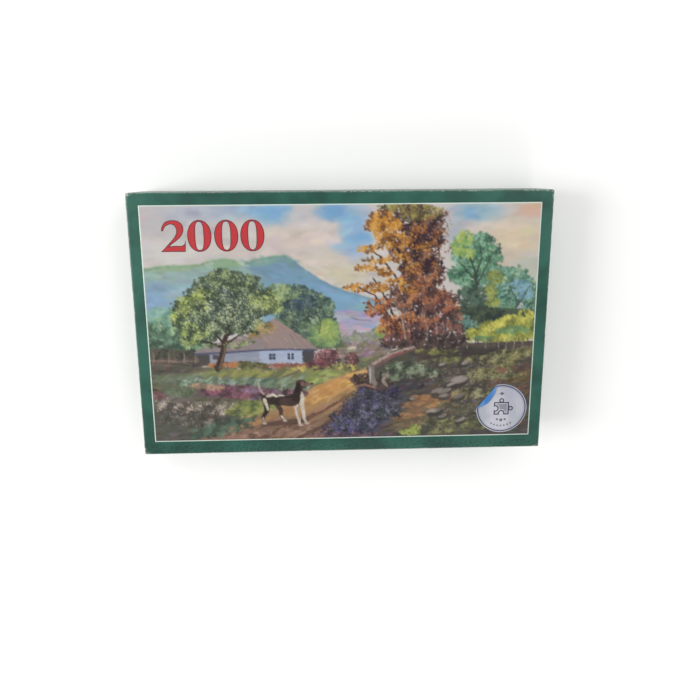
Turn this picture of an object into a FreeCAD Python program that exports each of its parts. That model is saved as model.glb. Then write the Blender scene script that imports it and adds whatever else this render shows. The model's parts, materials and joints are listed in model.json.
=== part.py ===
"""A boxed jigsaw puzzle: a telescoping lid and tray of paper-wrapped greyboard, a round paper label
on the lid, and two sealed film bags of loose jigsaw pieces in the tray.

Row frame: +Z up, origin at the middle of the tray's underside. The box lies flat with its lid on top,
its long side along X. The printed cover reads upright when seen from above with +Y at the top.
All sizes are millimetres.
"""

import FreeCAD
import Part

import math
import os
import random

Vector = FreeCAD.Vector
os.makedirs("parts", exist_ok=True)

# ---- the box -------------------------------------------------------------------------------------
LID_LENGTH = 430.0          # outside of the lid, along X
LID_WIDTH = 280.0           # outside of the lid, along Y
BOX_HEIGHT = 60.0           # floor to the top of the closed lid
BOARD = 1.8                 # greyboard of both shells
WRAP = 0.2                  # laminated printed paper round the board
FOLD_RADIUS = 1.4           # outside radius of a wrapped fold
LID_CLEARANCE = 0.6         # air between the tray and the lid's lining, on each side
TRAY_REVEAL = 3.0           # tray that shows below the lid's rim
TURN_IN = 18.0              # paper folded over the rim and glued inside
CORNER_SLIT = 0.2           # butt joint where a short wall's end meets a long wall
STAY_PAPER = 0.12           # corner stay, a strip of gummed paper pressed flush into the board
STAY_LEG = 13.0             # how far a stay reaches along each wall
STAY_MARGIN = 2.0           # board left bare above and below a stay

# ---- the round label on the lid ------------------------------------------------------------------
LABEL_RADIUS = 27.5
LABEL_PAPER = 0.12
LABEL_FROM_RIGHT = 43.5     # label centre, measured in from the lid's right edge
LABEL_FROM_FRONT = 45.8     # and from its front edge
LABEL_FOLD_ANGLE = 141.0    # direction of the turned-back edge, from +X
LABEL_FOLD_DEPTH = 6.2      # how deep the edge is turned back

# ---- the bags and the pieces in them -------------------------------------------------------------
BAG_COUNT = 2
BAG_SIDE_GAP = 3.0          # air between a bag and the wall or the next bag
BAG_END_GAP = 4.0           # air between a bag's sealed edge and the wall
BAG_HEIGHT = 32.0
BAG_FILM = 0.3
BAG_CORNER = 20.0           # radius of the filled bag's upright corners
BAG_EDGE = 8.0              # radius of its upper and lower edges
SEAL_WIDTH = 10.0           # heat-sealed edge at each end
SEAL_THICKNESS = 0.6
PIECE_LENGTH = 19.6         # cell of the 50 x 40 cut
PIECE_WIDTH = 17.0
PIECE_THICKNESS = 2.0
PIECE_KNOB = 4.6            # how far a knob stands out
KNOB_NECK = 1.6             # half the width of a knob's neck
KNOB_FOOT = 2.56            # half the width of the opening where a knob leaves the side
NECK_HEIGHT = 1.38          # from the side to the neck
KNOB_SHIFT = 1.0            # largest random shift of a knob along its side
PIECE_AIR = 0.8             # least air round a piece in its layer
LAYER_GAP = 0.35
LAYERS = 5
PIECE_TURN = 4.0            # largest random turn of a piece, degrees
EDGE_PIECES = 16            # straight-sided pieces modelled in each bag
CORNER_PIECES = 2           # pieces with two straight sides in each bag

SAME = 1e-6                 # lengths closer than this count as equal

# ---- sizes that follow ---------------------------------------------------------------------------
LID_THICKNESS = BOARD + WRAP
SHELL_WALL = WRAP + BOARD + WRAP
TRAY_HEIGHT = BOX_HEIGHT - LID_THICKNESS
LID_HEIGHT = BOX_HEIGHT - TRAY_REVEAL
TRAY_LENGTH = LID_LENGTH - 2 * (SHELL_WALL + LID_CLEARANCE)
TRAY_WIDTH = LID_WIDTH - 2 * (SHELL_WALL + LID_CLEARANCE)
TRAY_FLOOR = WRAP + BOARD
INNER_LENGTH = TRAY_LENGTH - 2 * SHELL_WALL
INNER_WIDTH = TRAY_WIDTH - 2 * SHELL_WALL


def block(length, width, bottom, top):
    """A plain block centred on the Z axis."""
    return Part.makeBox(length, width, top - bottom, Vector(-length / 2, -width / 2, bottom))


def is_upright(edge):
    box = edge.BoundBox
    return box.ZLength > SAME and box.XLength < SAME and box.YLength < SAME


def is_at_height(edge, z):
    box = edge.BoundBox
    return box.ZLength < SAME and abs(box.ZMin - z) < SAME


def folded_block(length, width, bottom, top, radius):
    """A block with rounded upright and lower edges, the outside of a folded tray."""
    plain = block(length, width, bottom, top)
    folds = [e for e in plain.Edges if is_upright(e) or is_at_height(e, bottom)]
    return plain.makeFillet(radius, folds)


def upright_block(length, width, bottom, top, radius):
    """A block with rounded upright edges only."""
    plain = block(length, width, bottom, top)
    return plain.makeFillet(radius, [e for e in plain.Edges if is_upright(e)])


# ---- one wrapped shell, modelled as a tray with its opening upwards ------------------------------
def corner_signs():
    return [(-1, -1), (1, -1), (1, 1), (-1, 1)]


def shell_stays(length, width, height):
    """Four strips of gummed paper round the upright corners of the board, flush with its faces."""
    board_length, board_width = length - 2 * WRAP, width - 2 * WRAP
    radius = FOLD_RADIUS - WRAP
    low = WRAP + radius + STAY_MARGIN
    high = height - WRAP - STAY_MARGIN
    skin = upright_block(board_length, board_width, low, high, radius)
    core = upright_block(board_length - 2 * STAY_PAPER, board_width - 2 * STAY_PAPER, low, high,
                         radius - STAY_PAPER)
    ring = skin.cut(core)
    stays = []
    for sx, sy in corner_signs():
        x = sx * board_length / 2
        y = sy * board_width / 2
        corner = Part.makeBox(STAY_LEG, STAY_LEG, height,
                              Vector(min(x, x - sx * STAY_LEG), min(y, y - sy * STAY_LEG), 0))
        stays.append(ring.common(corner))
    return stays


def shell_board(length, width, height, stays):
    """The folded greyboard blank: floor and four walls, slit where the short walls butt on the long."""
    outside = folded_block(length - 2 * WRAP, width - 2 * WRAP, WRAP, height - WRAP,
                           FOLD_RADIUS - WRAP)
    inner_length = length - 2 * (WRAP + BOARD)
    inner_width = width - 2 * (WRAP + BOARD)
    board = outside.cut(block(inner_length, inner_width, WRAP + BOARD, height))
    for sx, sy in corner_signs():
        x = sx * inner_length / 2
        y = sy * inner_width / 2
        slit = Part.makeBox(2 * BOARD, CORNER_SLIT, height,
                            Vector(x if sx > 0 else x - 2 * BOARD, min(y, y - sy * CORNER_SLIT),
                                   WRAP + BOARD))
        board = board.cut(slit)
    for stay in stays:
        board = board.cut(stay)
    return board


def shell_wrap(length, width, height):
    """The printed paper: floor, walls, over the rim and down inside by the turn-in."""
    inner_length = length - 2 * (WRAP + BOARD)
    inner_width = width - 2 * (WRAP + BOARD)
    skin = folded_block(length, width, 0, height, FOLD_RADIUS).cut(
        folded_block(length - 2 * WRAP, width - 2 * WRAP, WRAP, height + BOARD, FOLD_RADIUS - WRAP))
    mouth = block(inner_length - 2 * WRAP, inner_width - 2 * WRAP, 0, 2 * height)
    rim = upright_block(length - 2 * WRAP, width - 2 * WRAP, height - WRAP, height,
                        FOLD_RADIUS - WRAP).cut(mouth)
    lining = block(inner_length, inner_width, height - TURN_IN, height).cut(mouth)
    return skin.fuse([rim, lining]).removeSplitter()


def turned_over(shape, top):
    """A tray-shaped piece turned over into a lid whose upper face is at this height."""
    turned = shape.copy()
    turned.rotate(Vector(0, 0, 0), Vector(1, 0, 0), 180)
    turned.translate(Vector(0, 0, top))
    return turned


CORNER_NAMES = ["front_left", "front_right", "back_right", "back_left"]
# Turning a shell over about X swaps its front and back corners.
TURNED_NAMES = ["back_left", "back_right", "front_right", "front_left"]


def make_tray():
    stays = shell_stays(TRAY_LENGTH, TRAY_WIDTH, TRAY_HEIGHT)
    nodes = {"tray_board": shell_board(TRAY_LENGTH, TRAY_WIDTH, TRAY_HEIGHT, stays),
             "tray_wrap": shell_wrap(TRAY_LENGTH, TRAY_WIDTH, TRAY_HEIGHT)}
    for name, stay in zip(CORNER_NAMES, stays):
        nodes["tray_corner_stay_" + name] = stay
    return nodes


def make_lid():
    stays = shell_stays(LID_LENGTH, LID_WIDTH, LID_HEIGHT)
    nodes = {"lid_board": turned_over(shell_board(LID_LENGTH, LID_WIDTH, LID_HEIGHT, stays), BOX_HEIGHT),
             "lid_wrap": turned_over(shell_wrap(LID_LENGTH, LID_WIDTH, LID_HEIGHT), BOX_HEIGHT)}
    for name, stay in zip(TURNED_NAMES, stays):
        nodes["lid_corner_stay_" + name] = turned_over(stay, BOX_HEIGHT)
    return nodes


# ---- the round label -----------------------------------------------------------------------------
def make_label():
    """A paper disc glued on the lid, one edge turned back on itself in a straight fold."""
    centre = Vector(LID_LENGTH / 2 - LABEL_FROM_RIGHT, LABEL_FROM_FRONT - LID_WIDTH / 2, BOX_HEIGHT)
    disc = Part.makeCylinder(LABEL_RADIUS, LABEL_PAPER)
    reach = 2 * LABEL_RADIUS
    beyond = Part.makeBox(reach, 2 * reach, 2 * LABEL_PAPER,
                          Vector(LABEL_RADIUS - LABEL_FOLD_DEPTH, -reach, -LABEL_PAPER / 2))
    flat = disc.cut(beyond)
    edge = disc.common(beyond)
    turned = edge.mirror(Vector(LABEL_RADIUS - LABEL_FOLD_DEPTH, 0, 0), Vector(1, 0, 0))
    turned.translate(Vector(0, 0, LABEL_PAPER))
    label = flat.fuse(turned)
    label.rotate(Vector(0, 0, 0), Vector(0, 0, 1), LABEL_FOLD_ANGLE)
    label.translate(centre)
    return {"cover_label": label}


# ---- jigsaw pieces -------------------------------------------------------------------------------
def side_edges(start, end, knob, shift):
    """One side of a piece from start to end: knob 1 stands out, -1 is a socket, 0 is straight."""
    along = end - start
    length = along.Length
    along.normalize()
    out = Vector(along.y, -along.x, 0) * (knob if knob else 1)
    if knob == 0:
        return [Part.LineSegment(start, end).toShape()]
    middle = length / 2 + shift
    bend = KNOB_NECK + (KNOB_FOOT - KNOB_NECK) / 8

    def at(x, y):
        return start + along * x + out * y

    left, right = at(middle - KNOB_FOOT, 0), at(middle + KNOB_FOOT, 0)
    neck_left, neck_right = at(middle - KNOB_NECK, NECK_HEIGHT), at(middle + KNOB_NECK, NECK_HEIGHT)
    bend_left, bend_right = at(middle - bend, NECK_HEIGHT / 2), at(middle + bend, NECK_HEIGHT / 2)
    return [Part.LineSegment(start, left).toShape(),
            Part.Arc(left, bend_left, neck_left).toShape(),
            Part.Arc(neck_left, at(middle, PIECE_KNOB), neck_right).toShape(),
            Part.Arc(neck_right, bend_right, right).toShape(),
            Part.LineSegment(right, end).toShape()]


def jigsaw_piece(knobs, shifts):
    """A die-cut piece centred on the origin, its underside at z 0."""
    half_length, half_width = PIECE_LENGTH / 2, PIECE_WIDTH / 2
    corners = [Vector(-half_length, -half_width, 0), Vector(half_length, -half_width, 0),
               Vector(half_length, half_width, 0), Vector(-half_length, half_width, 0)]
    edges = []
    for i in range(4):
        edges += side_edges(corners[i], corners[(i + 1) % 4], knobs[i], shifts[i])
    return Part.Face(Part.Wire(edges)).extrude(Vector(0, 0, PIECE_THICKNESS))


def edge_inset(height):
    """How far the rounded lower edge of a bag stands in from its side at this height above its base."""
    rise = max(BAG_EDGE - height, 0)
    return BAG_EDGE - math.sqrt(BAG_EDGE ** 2 - rise ** 2)


def layer_places(length, width, base):
    """Centres of the pieces that fit in one layer of a bag, whose inside measures length by width."""
    pitch = max(PIECE_LENGTH, PIECE_WIDTH) + 2 * PIECE_KNOB + PIECE_AIR
    inset = edge_inset(base)
    usable_length = length - 2 * inset
    usable_width = width - 2 * inset
    columns = int(usable_length // pitch)
    rows = int(usable_width // pitch)
    places = []
    for column in range(columns):
        for row in range(rows):
            at_corner = column in (0, columns - 1) and row in (0, rows - 1)
            if not at_corner:
                places.append((usable_length * ((column + 0.5) / columns - 0.5),
                               usable_width * ((row + 0.5) / rows - 0.5)))
    return places


def bag_pieces(bag_length, bag_width, centre_x, seed):
    """The loose pieces in a bag, layer on layer, sorted into corner, edge and inner pieces."""
    random.seed(seed)
    sorted_pieces = {"corner": [], "edge": [], "inner": []}
    inside_length = bag_length - 2 * BAG_FILM
    inside_width = bag_width - 2 * BAG_FILM
    for layer in range(LAYERS):
        base = LAYER_GAP + layer * (PIECE_THICKNESS + LAYER_GAP)
        places = layer_places(inside_length, inside_width, base)
        random.shuffle(places)
        for x, y in places:
            knobs = [random.choice((-1, 1)) for _ in range(4)]
            if len(sorted_pieces["corner"]) < CORNER_PIECES and layer == LAYERS - 1:
                kind, knobs[0], knobs[3] = "corner", 0, 0
            elif len(sorted_pieces["edge"]) < EDGE_PIECES * (layer + 1) // LAYERS:
                kind, knobs[0] = "edge", 0
            else:
                kind = "inner"
            piece = jigsaw_piece(knobs, [random.uniform(-KNOB_SHIFT, KNOB_SHIFT) for _ in range(4)])
            turn = 90 * random.randrange(4) + random.uniform(-PIECE_TURN, PIECE_TURN)
            piece.rotate(Vector(0, 0, 0), Vector(0, 0, 1), turn)
            piece.translate(Vector(centre_x + x, y, TRAY_FLOOR + BAG_FILM + base))
            sorted_pieces[kind].append(piece)
    return sorted_pieces


# ---- bags ----------------------------------------------------------------------------------------
def pillow(length, width, height, inset, bottom):
    """A filled bag's rounded shape, drawn in by inset all round."""
    plain = block(length - 2 * inset, width - 2 * inset, bottom + inset, bottom + height - inset)
    upright = [e for e in plain.Edges if is_upright(e)]
    rounded = plain.makeFillet(BAG_CORNER - inset, upright)
    rims = [e for e in rounded.Edges
            if is_at_height(e, bottom + inset) or is_at_height(e, bottom + height - inset)]
    return rounded.makeFillet(BAG_EDGE - inset, rims)


def make_bag(index):
    """A sealed film bag resting on the tray's floor, with the pieces in it."""
    slot_length = (INNER_LENGTH - (BAG_COUNT + 1) * BAG_SIDE_GAP) / BAG_COUNT
    bag_width = INNER_WIDTH - 2 * (BAG_END_GAP + SEAL_WIDTH)
    first = -INNER_LENGTH / 2 + BAG_SIDE_GAP + slot_length / 2
    centre_x = first + index * (slot_length + BAG_SIDE_GAP)
    middle_z = TRAY_FLOOR + BAG_HEIGHT / 2
    outside = pillow(slot_length, bag_width, BAG_HEIGHT, 0, TRAY_FLOOR)
    seal = block(slot_length - 2 * BAG_CORNER, bag_width + 2 * SEAL_WIDTH,
                 middle_z - SEAL_THICKNESS / 2, middle_z + SEAL_THICKNESS / 2)
    film = outside.fuse(seal).cut(pillow(slot_length, bag_width, BAG_HEIGHT, BAG_FILM, TRAY_FLOOR))
    film.translate(Vector(centre_x, 0, 0))
    name = "bag_%d" % (index + 1)
    nodes = {name + "_film": film}
    for kind, pieces in bag_pieces(slot_length, bag_width, centre_x, index + 1).items():
        nodes["%s_%s_pieces" % (name, kind)] = Part.makeCompound(pieces)
    return nodes


# ---- all nodes -----------------------------------------------------------------------------------
def main():
    nodes = {}
    nodes.update(make_tray())
    nodes.update(make_lid())
    nodes.update(make_label())
    for index in range(BAG_COUNT):
        nodes.update(make_bag(index))
    for name, shape in nodes.items():
        shape.exportStep("parts/%s.step" % name)
        solids = shape.Solids
        print("%-34s solids %3d  volume %10.1f mm3  valid %s"
              % (name, len(solids), shape.Volume, shape.isValid()))


main()
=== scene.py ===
import json
import math
import random

import bmesh
import bpy
import numpy as np
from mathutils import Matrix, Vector

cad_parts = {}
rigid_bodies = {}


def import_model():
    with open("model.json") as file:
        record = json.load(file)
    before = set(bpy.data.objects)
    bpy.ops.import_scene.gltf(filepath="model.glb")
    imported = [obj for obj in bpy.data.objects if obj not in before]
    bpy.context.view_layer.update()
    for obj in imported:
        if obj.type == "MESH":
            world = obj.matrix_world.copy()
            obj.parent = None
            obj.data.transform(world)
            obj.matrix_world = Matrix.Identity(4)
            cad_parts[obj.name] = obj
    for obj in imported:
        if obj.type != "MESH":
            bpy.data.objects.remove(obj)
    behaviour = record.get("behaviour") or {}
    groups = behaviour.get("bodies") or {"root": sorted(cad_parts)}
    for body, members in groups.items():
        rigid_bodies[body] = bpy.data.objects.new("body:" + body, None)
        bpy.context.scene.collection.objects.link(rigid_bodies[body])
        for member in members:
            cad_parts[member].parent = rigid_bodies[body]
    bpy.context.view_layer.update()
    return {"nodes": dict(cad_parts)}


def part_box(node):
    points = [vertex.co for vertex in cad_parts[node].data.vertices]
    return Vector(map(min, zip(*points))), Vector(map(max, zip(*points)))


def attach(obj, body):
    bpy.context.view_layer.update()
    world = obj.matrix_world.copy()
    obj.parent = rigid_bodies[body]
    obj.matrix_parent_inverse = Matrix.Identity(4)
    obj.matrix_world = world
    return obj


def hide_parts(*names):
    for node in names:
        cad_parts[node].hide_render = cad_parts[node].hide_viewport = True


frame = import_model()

MM = 0.001

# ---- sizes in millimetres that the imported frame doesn't give -------------------------------------
WRAP = 0.2                  # laminated paper round the board
BOARD = 1.8
FOLD_RADIUS = 1.4
TURN_IN = 18.0              # paper folded over the rim and glued inside
PRINT_SIDE_MARGIN = 12.0    # green border left and right of the picture
PRINT_TOP_MARGIN = 12.4
PRINT_FRONT_MARGIN = 14.6
KEYLINE = 1.1               # pale line round the picture
PRINT_GRID = 1.05           # spacing of the picture's colour points
CROWN = 0.55                # how far the lid's top bulges up in its middle
INK = 0.03                  # step between printed layers
EAR = 16.0                  # paper ear that laps round each corner under the end flap
FLAP_INSET = 2.0            # bare strip between a corner and the edge of the end flap

lid_low, lid_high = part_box("lid_wrap")
tray_low, tray_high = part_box("tray_wrap")
LID_LENGTH, LID_WIDTH = (lid_high - lid_low).x, (lid_high - lid_low).y
TRAY_LENGTH, TRAY_WIDTH = (tray_high - tray_low).x, (tray_high - tray_low).y
LID_TOP = lid_high.z


# ---- node trees ----------------------------------------------------------------------------------
class Value:
    """A number that varies over a surface: one socket, with arithmetic that adds Math nodes."""

    def __init__(self, tree, socket):
        self.tree = tree
        self.socket = socket

    def maths(self, operation, *others):
        return self.tree.add("ShaderNodeMath", {"operation": operation}, dict(enumerate((self, *others))))

    def __add__(self, other):
        return self.maths("ADD", other)

    __radd__ = __add__

    def __sub__(self, other):
        return self.maths("SUBTRACT", other)

    def __rsub__(self, other):
        return self.tree.add("ShaderNodeMath", {"operation": "SUBTRACT"}, {0: other, 1: self})

    def __mul__(self, other):
        return self.maths("MULTIPLY", other)

    __rmul__ = __mul__

    def __truediv__(self, other):
        return self.maths("DIVIDE", other)

    def __pow__(self, other):
        return self.maths("POWER", other)

    def __abs__(self):
        return self.maths("ABSOLUTE")

    def least(self, other):
        return self.maths("MINIMUM", other)

    def most(self, other):
        return self.maths("MAXIMUM", other)

    def ramp(self, start, end):
        """Rises smoothly from 0 at start to 1 at end, which may be the smaller of the two."""
        return self.tree.add("ShaderNodeMapRange", {"interpolation_type": "SMOOTHSTEP"},
                             {"Value": self, "From Min": start, "From Max": end})


class Tree:
    """Adds nodes to a node tree: settings first, then the values or links of their sockets."""

    def __init__(self, tree):
        self.tree = tree
        tree.nodes.clear()

    def add(self, kind, settings=None, sockets=None, output=0):
        node = self.tree.nodes.new(kind)
        for name, value in (settings or {}).items():
            if name == "stops":
                set_stops(node.color_ramp, value)
            else:
                setattr(node, name, value)
        for name, value in (sockets or {}).items():
            if isinstance(value, Value):
                self.tree.links.new(value.socket, node.inputs[name])
            else:
                node.inputs[name].default_value = value
        return Value(self, node.outputs[output]) if node.outputs else node


def set_stops(ramp, stops):
    while len(ramp.elements) < len(stops):
        ramp.elements.new(1)
    for element, (place, colour) in zip(ramp.elements, stops):
        element.position = place
        element.color = colour


def rgb(code):
    """An sRGB colour code as three numbers from 0 to 1."""
    return np.array([int(code[i:i + 2], 16) / 255 for i in (0, 2, 4)])


def linear(tones):
    """The linear numbers that stand for sRGB ones."""
    return np.where(tones <= 0.04045, tones / 12.92, ((tones + 0.055) / 1.055) ** 2.4)


def colour(code):
    """A linear colour with full alpha from an sRGB code."""
    return (*linear(rgb(code)).tolist(), 1.0)


class Finish(Tree):
    """One material, whose patterns are laid out in object coordinates, in metres."""

    def __init__(self, name):
        self.material = bpy.data.materials.new(name)
        self.material.use_nodes = True
        super().__init__(self.material.node_tree)
        self.place = self.add("ShaderNodeTexCoord", output="Object")
        self.x, self.y, self.z = (self.add("ShaderNodeSeparateXYZ", None, {0: self.place}, axis)
                                  for axis in range(3))

    def stretched(self, x, y, z, turn=0.0):
        """The place, stretched along the axes and turned about Z, for a pattern with a grain."""
        return self.add("ShaderNodeMapping", None,
                        {"Vector": self.place, "Rotation": (0, 0, turn), "Scale": (x, y, z)})

    def noise(self, size, detail=2.0, roughness=0.5, place=None, distortion=0.0):
        """Cloudy noise from 0 to 1 whose features are about size metres across."""
        return self.add("ShaderNodeTexNoise", None,
                        {"Vector": place or self.place, "Scale": 1 / size, "Detail": detail,
                         "Roughness": roughness, "Distortion": distortion})

    def mix(self, share, first, second):
        return self.add("ShaderNodeMix", {"data_type": "RGBA"}, {0: share, 6: first, 7: second}, 2)

    def shade(self, tone, strength):
        """A colour made lighter or darker by a number."""
        if isinstance(tone, tuple):
            tone = tone[:3]
        return self.add("ShaderNodeVectorMath", {"operation": "SCALE"}, {0: tone, 3: strength})

    def attribute(self, name, output):
        return self.add("ShaderNodeAttribute", {"attribute_name": name}, None, output)

    def surface(self, base, roughness, height=None, depth=0.0001, alpha=None, **fixed):
        """Ends the material. height is bump from 0 to 1, and depth what 1 stands for, in metres."""
        sockets = {"Base Color": base, "Roughness": roughness}
        if height is not None:
            sockets["Normal"] = self.add("ShaderNodeBump", None,
                                         {"Strength": 1.0, "Distance": depth, "Height": height})
        if alpha is not None:
            sockets["Alpha"] = alpha
        sockets.update(fixed)
        shader = self.add("ShaderNodeBsdfPrincipled", None, sockets)
        self.add("ShaderNodeOutputMaterial", None, {"Surface": shader})
        return self.material


# ---- the printed landscape -----------------------------------------------------------------------
# Places and sizes on the print are millimetres: x from its left edge, y down from its top edge.
PRINT_LENGTH = 406.0
PRINT_WIDTH = 253.0
BRUSH_CELL = 0.35           # fineness of the painting
PAINTING_SEED = 11


def blurred(image, step):
    """The mean of each cell and its neighbours step cells away, along both axes."""
    for axis in (0, 1):
        image = (np.roll(image, step, axis) + image + np.roll(image, -step, axis)) / 3
    return image


class Canvas:
    """A painting built up from blots and dabs of colour, back to front."""

    def __init__(self):
        self.dice = np.random.default_rng(PAINTING_SEED)
        self.columns = round(PRINT_LENGTH / BRUSH_CELL)
        self.rows = round(PRINT_WIDTH / BRUSH_CELL)
        self.paint = np.zeros((self.rows, self.columns, 3))
        self.x = (np.arange(self.columns) + 0.5) * BRUSH_CELL
        self.y = ((np.arange(self.rows) + 0.5) * BRUSH_CELL)[:, None]
        turns = self.dice.uniform(0, 2 * math.pi, 20)
        pitches = 2 * math.pi / self.dice.uniform(9, 26, 20)
        self.waves = np.stack([pitches * np.cos(turns), pitches * np.sin(turns),
                               self.dice.uniform(0, 2 * math.pi, 20)])

    def dab(self, x, y, half_length, half_width, angle, colour, cover=1.0, hardness=2.5):
        """One brush mark: an ellipse turned by angle, whose edge is sharper with more hardness."""
        reach = max(half_length, half_width)
        left, right = int(max(x - reach, 0) / BRUSH_CELL), int((x + reach) / BRUSH_CELL) + 1
        top, bottom = int(max(y - reach, 0) / BRUSH_CELL), int((y + reach) / BRUSH_CELL) + 1
        dx = self.x[left:right] - x
        dy = self.y[top:bottom] - y
        cos, sin = math.cos(angle), math.sin(angle)
        along = (dx * cos + dy * sin) / half_length
        across = (dy * cos - dx * sin) / half_width
        mask = cover * np.clip((1 - along ** 2 - across ** 2) * hardness, 0, 1)[..., None]
        patch = self.paint[top:bottom, left:right]
        patch += mask * (colour - patch)

    def blot(self, x, y, half_length, half_width, code, cover=1.0, angle=0.0):
        """A large soft patch of colour."""
        self.dab(x, y, half_length, half_width, math.radians(angle), rgb(code), cover, 1.2)

    def fill(self, outline, code, low_code=None):
        """A hard-edged shape, shaded down to a second colour if there is one."""
        inside = np.zeros((self.rows, self.columns), bool)
        for (x0, y0), (x1, y1) in zip(outline, outline[1:] + outline[:1]):
            if y0 != y1:
                crossed = (self.y > min(y0, y1)) & (self.y <= max(y0, y1))
                edge_x = x0 + (self.y - y0) * (x1 - x0) / (y1 - y0)
                inside ^= crossed & (self.x > edge_x)
        high, low = rgb(code), rgb(low_code or code)
        top = min(y for _, y in outline)
        depth = max(y for _, y in outline) - top
        share = np.clip((self.y - top) / depth, 0, 1)[..., None]
        shaded = np.broadcast_to(high + share * (low - high), self.paint.shape)
        self.paint[inside] = shaded[inside]

    def line(self, points, width, end_width, code, cover=0.9, wobble=0.0):
        """A brush line through points that tapers from width to end_width."""
        colour = rgb(code)
        lengths = [math.dist(a, b) for a, b in zip(points, points[1:])]
        walked, whole = 0.0, sum(lengths)
        for (x0, y0), (x1, y1), length in zip(points, points[1:], lengths):
            angle = math.atan2(y1 - y0, x1 - x0)
            steps = max(int(length / 0.8), 1)
            for i in range(steps):
                share = (i + 0.5) / steps
                size = width + (end_width - width) * (walked + share * length) / whole
                tone = colour * self.dice.uniform(0.86, 1.14)
                drift_x, drift_y = self.dice.normal(0, wobble + 1e-9, 2)
                self.dab(x0 + share * (x1 - x0) + drift_x, y0 + share * (y1 - y0) + drift_y,
                         1.1 + size / 2, size / 2 + 0.15, angle, tone, cover)
            walked += length

    def colour_at(self, x, y):
        column = min(max(int(x / BRUSH_CELL), 0), self.columns - 1)
        row = min(max(int(y / BRUSH_CELL), 0), self.rows - 1)
        return self.paint[row, column].copy()

    def brush_over(self, area, count, half_length, half_width, angle, spread, contrast, hue=0.02):
        """Breaks up what is there with marks in its own colours. area is left, top, right, bottom."""
        for _ in range(count):
            x = self.dice.uniform(area[0], area[2])
            y = self.dice.uniform(area[1], area[3])
            tone = self.colour_at(x, y) * self.dice.normal(1, contrast) + self.dice.normal(0, hue, 3)
            size = self.dice.uniform(0.55, 1.3)
            turn = math.radians(self.dice.normal(angle, spread))
            self.dab(x, y, half_length * size, half_width * size, turn, np.clip(tone, 0, 1), 0.75)

    def brightness_at(self, x, y):
        """A smooth random number, mostly from 0 to 1, that groups the light leaves into clumps."""
        along_x, along_y, phase = self.waves
        return 0.5 + 0.09 * float(np.sin(along_x * x + along_y * y + phase).sum())

    def leaves(self, clumps, codes, count, size, cover=0.85, light=0.0, stretch=1.7, angle=None,
               loose=0.22):
        """Leaf marks spread over elliptical clumps (x, y, half length, half width). codes are colours
        with spaces between. Light and dark ones fall in patches, which are looser with more loose.
        light moves the marks towards the upper left of each clump."""
        areas = np.array([a * b for _, _, a, b in clumps])
        picks = self.dice.choice(len(clumps), count, p=areas / areas.sum())
        tones = sorted((rgb(code) for code in codes.split()), key=sum)
        for pick in picks:
            cx, cy, a, b = clumps[pick]
            radius = math.sqrt(self.dice.uniform(0, 1)) * self.dice.uniform(0.8, 1.08)
            around = self.dice.uniform(0, 2 * math.pi)
            x = cx + a * (radius * math.cos(around) - light * 0.55)
            y = cy + b * (radius * math.sin(around) - light * 0.75)
            level = self.brightness_at(x, y) + self.dice.normal(0, loose)
            nearest = min(max(int(level * len(tones)), 0), len(tones) - 1)
            tone = tones[nearest] * self.dice.uniform(0.9, 1.1)
            mark = size * self.dice.uniform(0.5, 1.35)
            if angle is None:
                turn = self.dice.uniform(0, math.pi)
            else:
                turn = math.radians(self.dice.normal(angle, 22))
            self.dab(x, y, mark, mark / stretch, turn, np.clip(tone, 0, 1), cover)

    def soften(self, size):
        """Blurs everything painted so far by about size millimetres."""
        step = 1
        while step * BRUSH_CELL < size:
            self.paint = blurred(self.paint, step)
            step *= 2

    def grid_colours(self, columns, rows):
        """The painting averaged down to a grid of points, as linear colours, top row first."""
        across = np.linspace(0, self.columns - 1, columns).astype(int)
        down = np.linspace(0, self.rows - 1, rows).astype(int)
        return linear(np.clip(blurred(self.paint, 1)[down][:, across], 0, 1))


def paint_sky(canvas):
    canvas.paint[:] = rgb("beb7b3")
    for x, y, a, b, code, cover in [
            (20, 14, 70, 24, "b0acb0", 0.8), (62, 8, 44, 12, "a6adba", 0.8),
            (100, 6, 34, 12, "92a4b6", 0.8), (134, 8, 26, 15, "74a0c2", 0.95),
            (166, 14, 26, 13, "b6b3b6", 0.9), (194, 7, 22, 12, "6f9dbf", 0.95),
            (216, 28, 20, 36, "86a6c6", 0.95), (204, 44, 18, 9, "8fabc4", 0.8),
            (158, 34, 44, 15, "c8bab2", 0.9), (180, 62, 44, 20, "c3baad", 0.9),
            (206, 72, 28, 12, "c2baa2", 0.9), (30, 46, 60, 12, "c4c0bc", 0.8),
            (110, 46, 60, 10, "bfb3ae", 0.8), (338, 8, 34, 12, "88a6b8", 0.95),
            (318, 24, 16, 22, "9fa8ae", 0.9), (350, 14, 24, 8, "9cb0b6", 0.8),
            (380, 36, 42, 26, "c9baa0", 0.95), (398, 8, 24, 10, "caa592", 0.9),
            (366, 60, 40, 18, "beb1a0", 0.9), (398, 66, 20, 14, "aab0a0", 0.8)]:
        canvas.blot(x, y, a, b, code, cover)
    for x, y, a in [
            (170, 20, 22), (150, 30, 30), (188, 36, 18), (236, 48, 14), (168, 58, 30), (362, 24, 22)]:
        canvas.leaves([(x, y, a, 4)], "cdc2ba c8bcb4", 26, 5, 0.45, stretch=3.2, angle=-6)
    for x, y, a in [(120, 4, 22), (200, 14, 16), (218, 36, 14), (330, 12, 18)]:
        canvas.leaves([(x, y, a, 5)], "6c9cc4 82a8c8", 22, 5, 0.5, stretch=3.2, angle=-6)
    canvas.brush_over((0, 0, PRINT_LENGTH, 112), 900, 8, 2.6, -5, 10, 0.03, 0.012)
    canvas.soften(2.4)
    canvas.brush_over((0, 0, PRINT_LENGTH, 112), 900, 6, 1.2, -5, 12, 0.012, 0.004)


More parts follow.
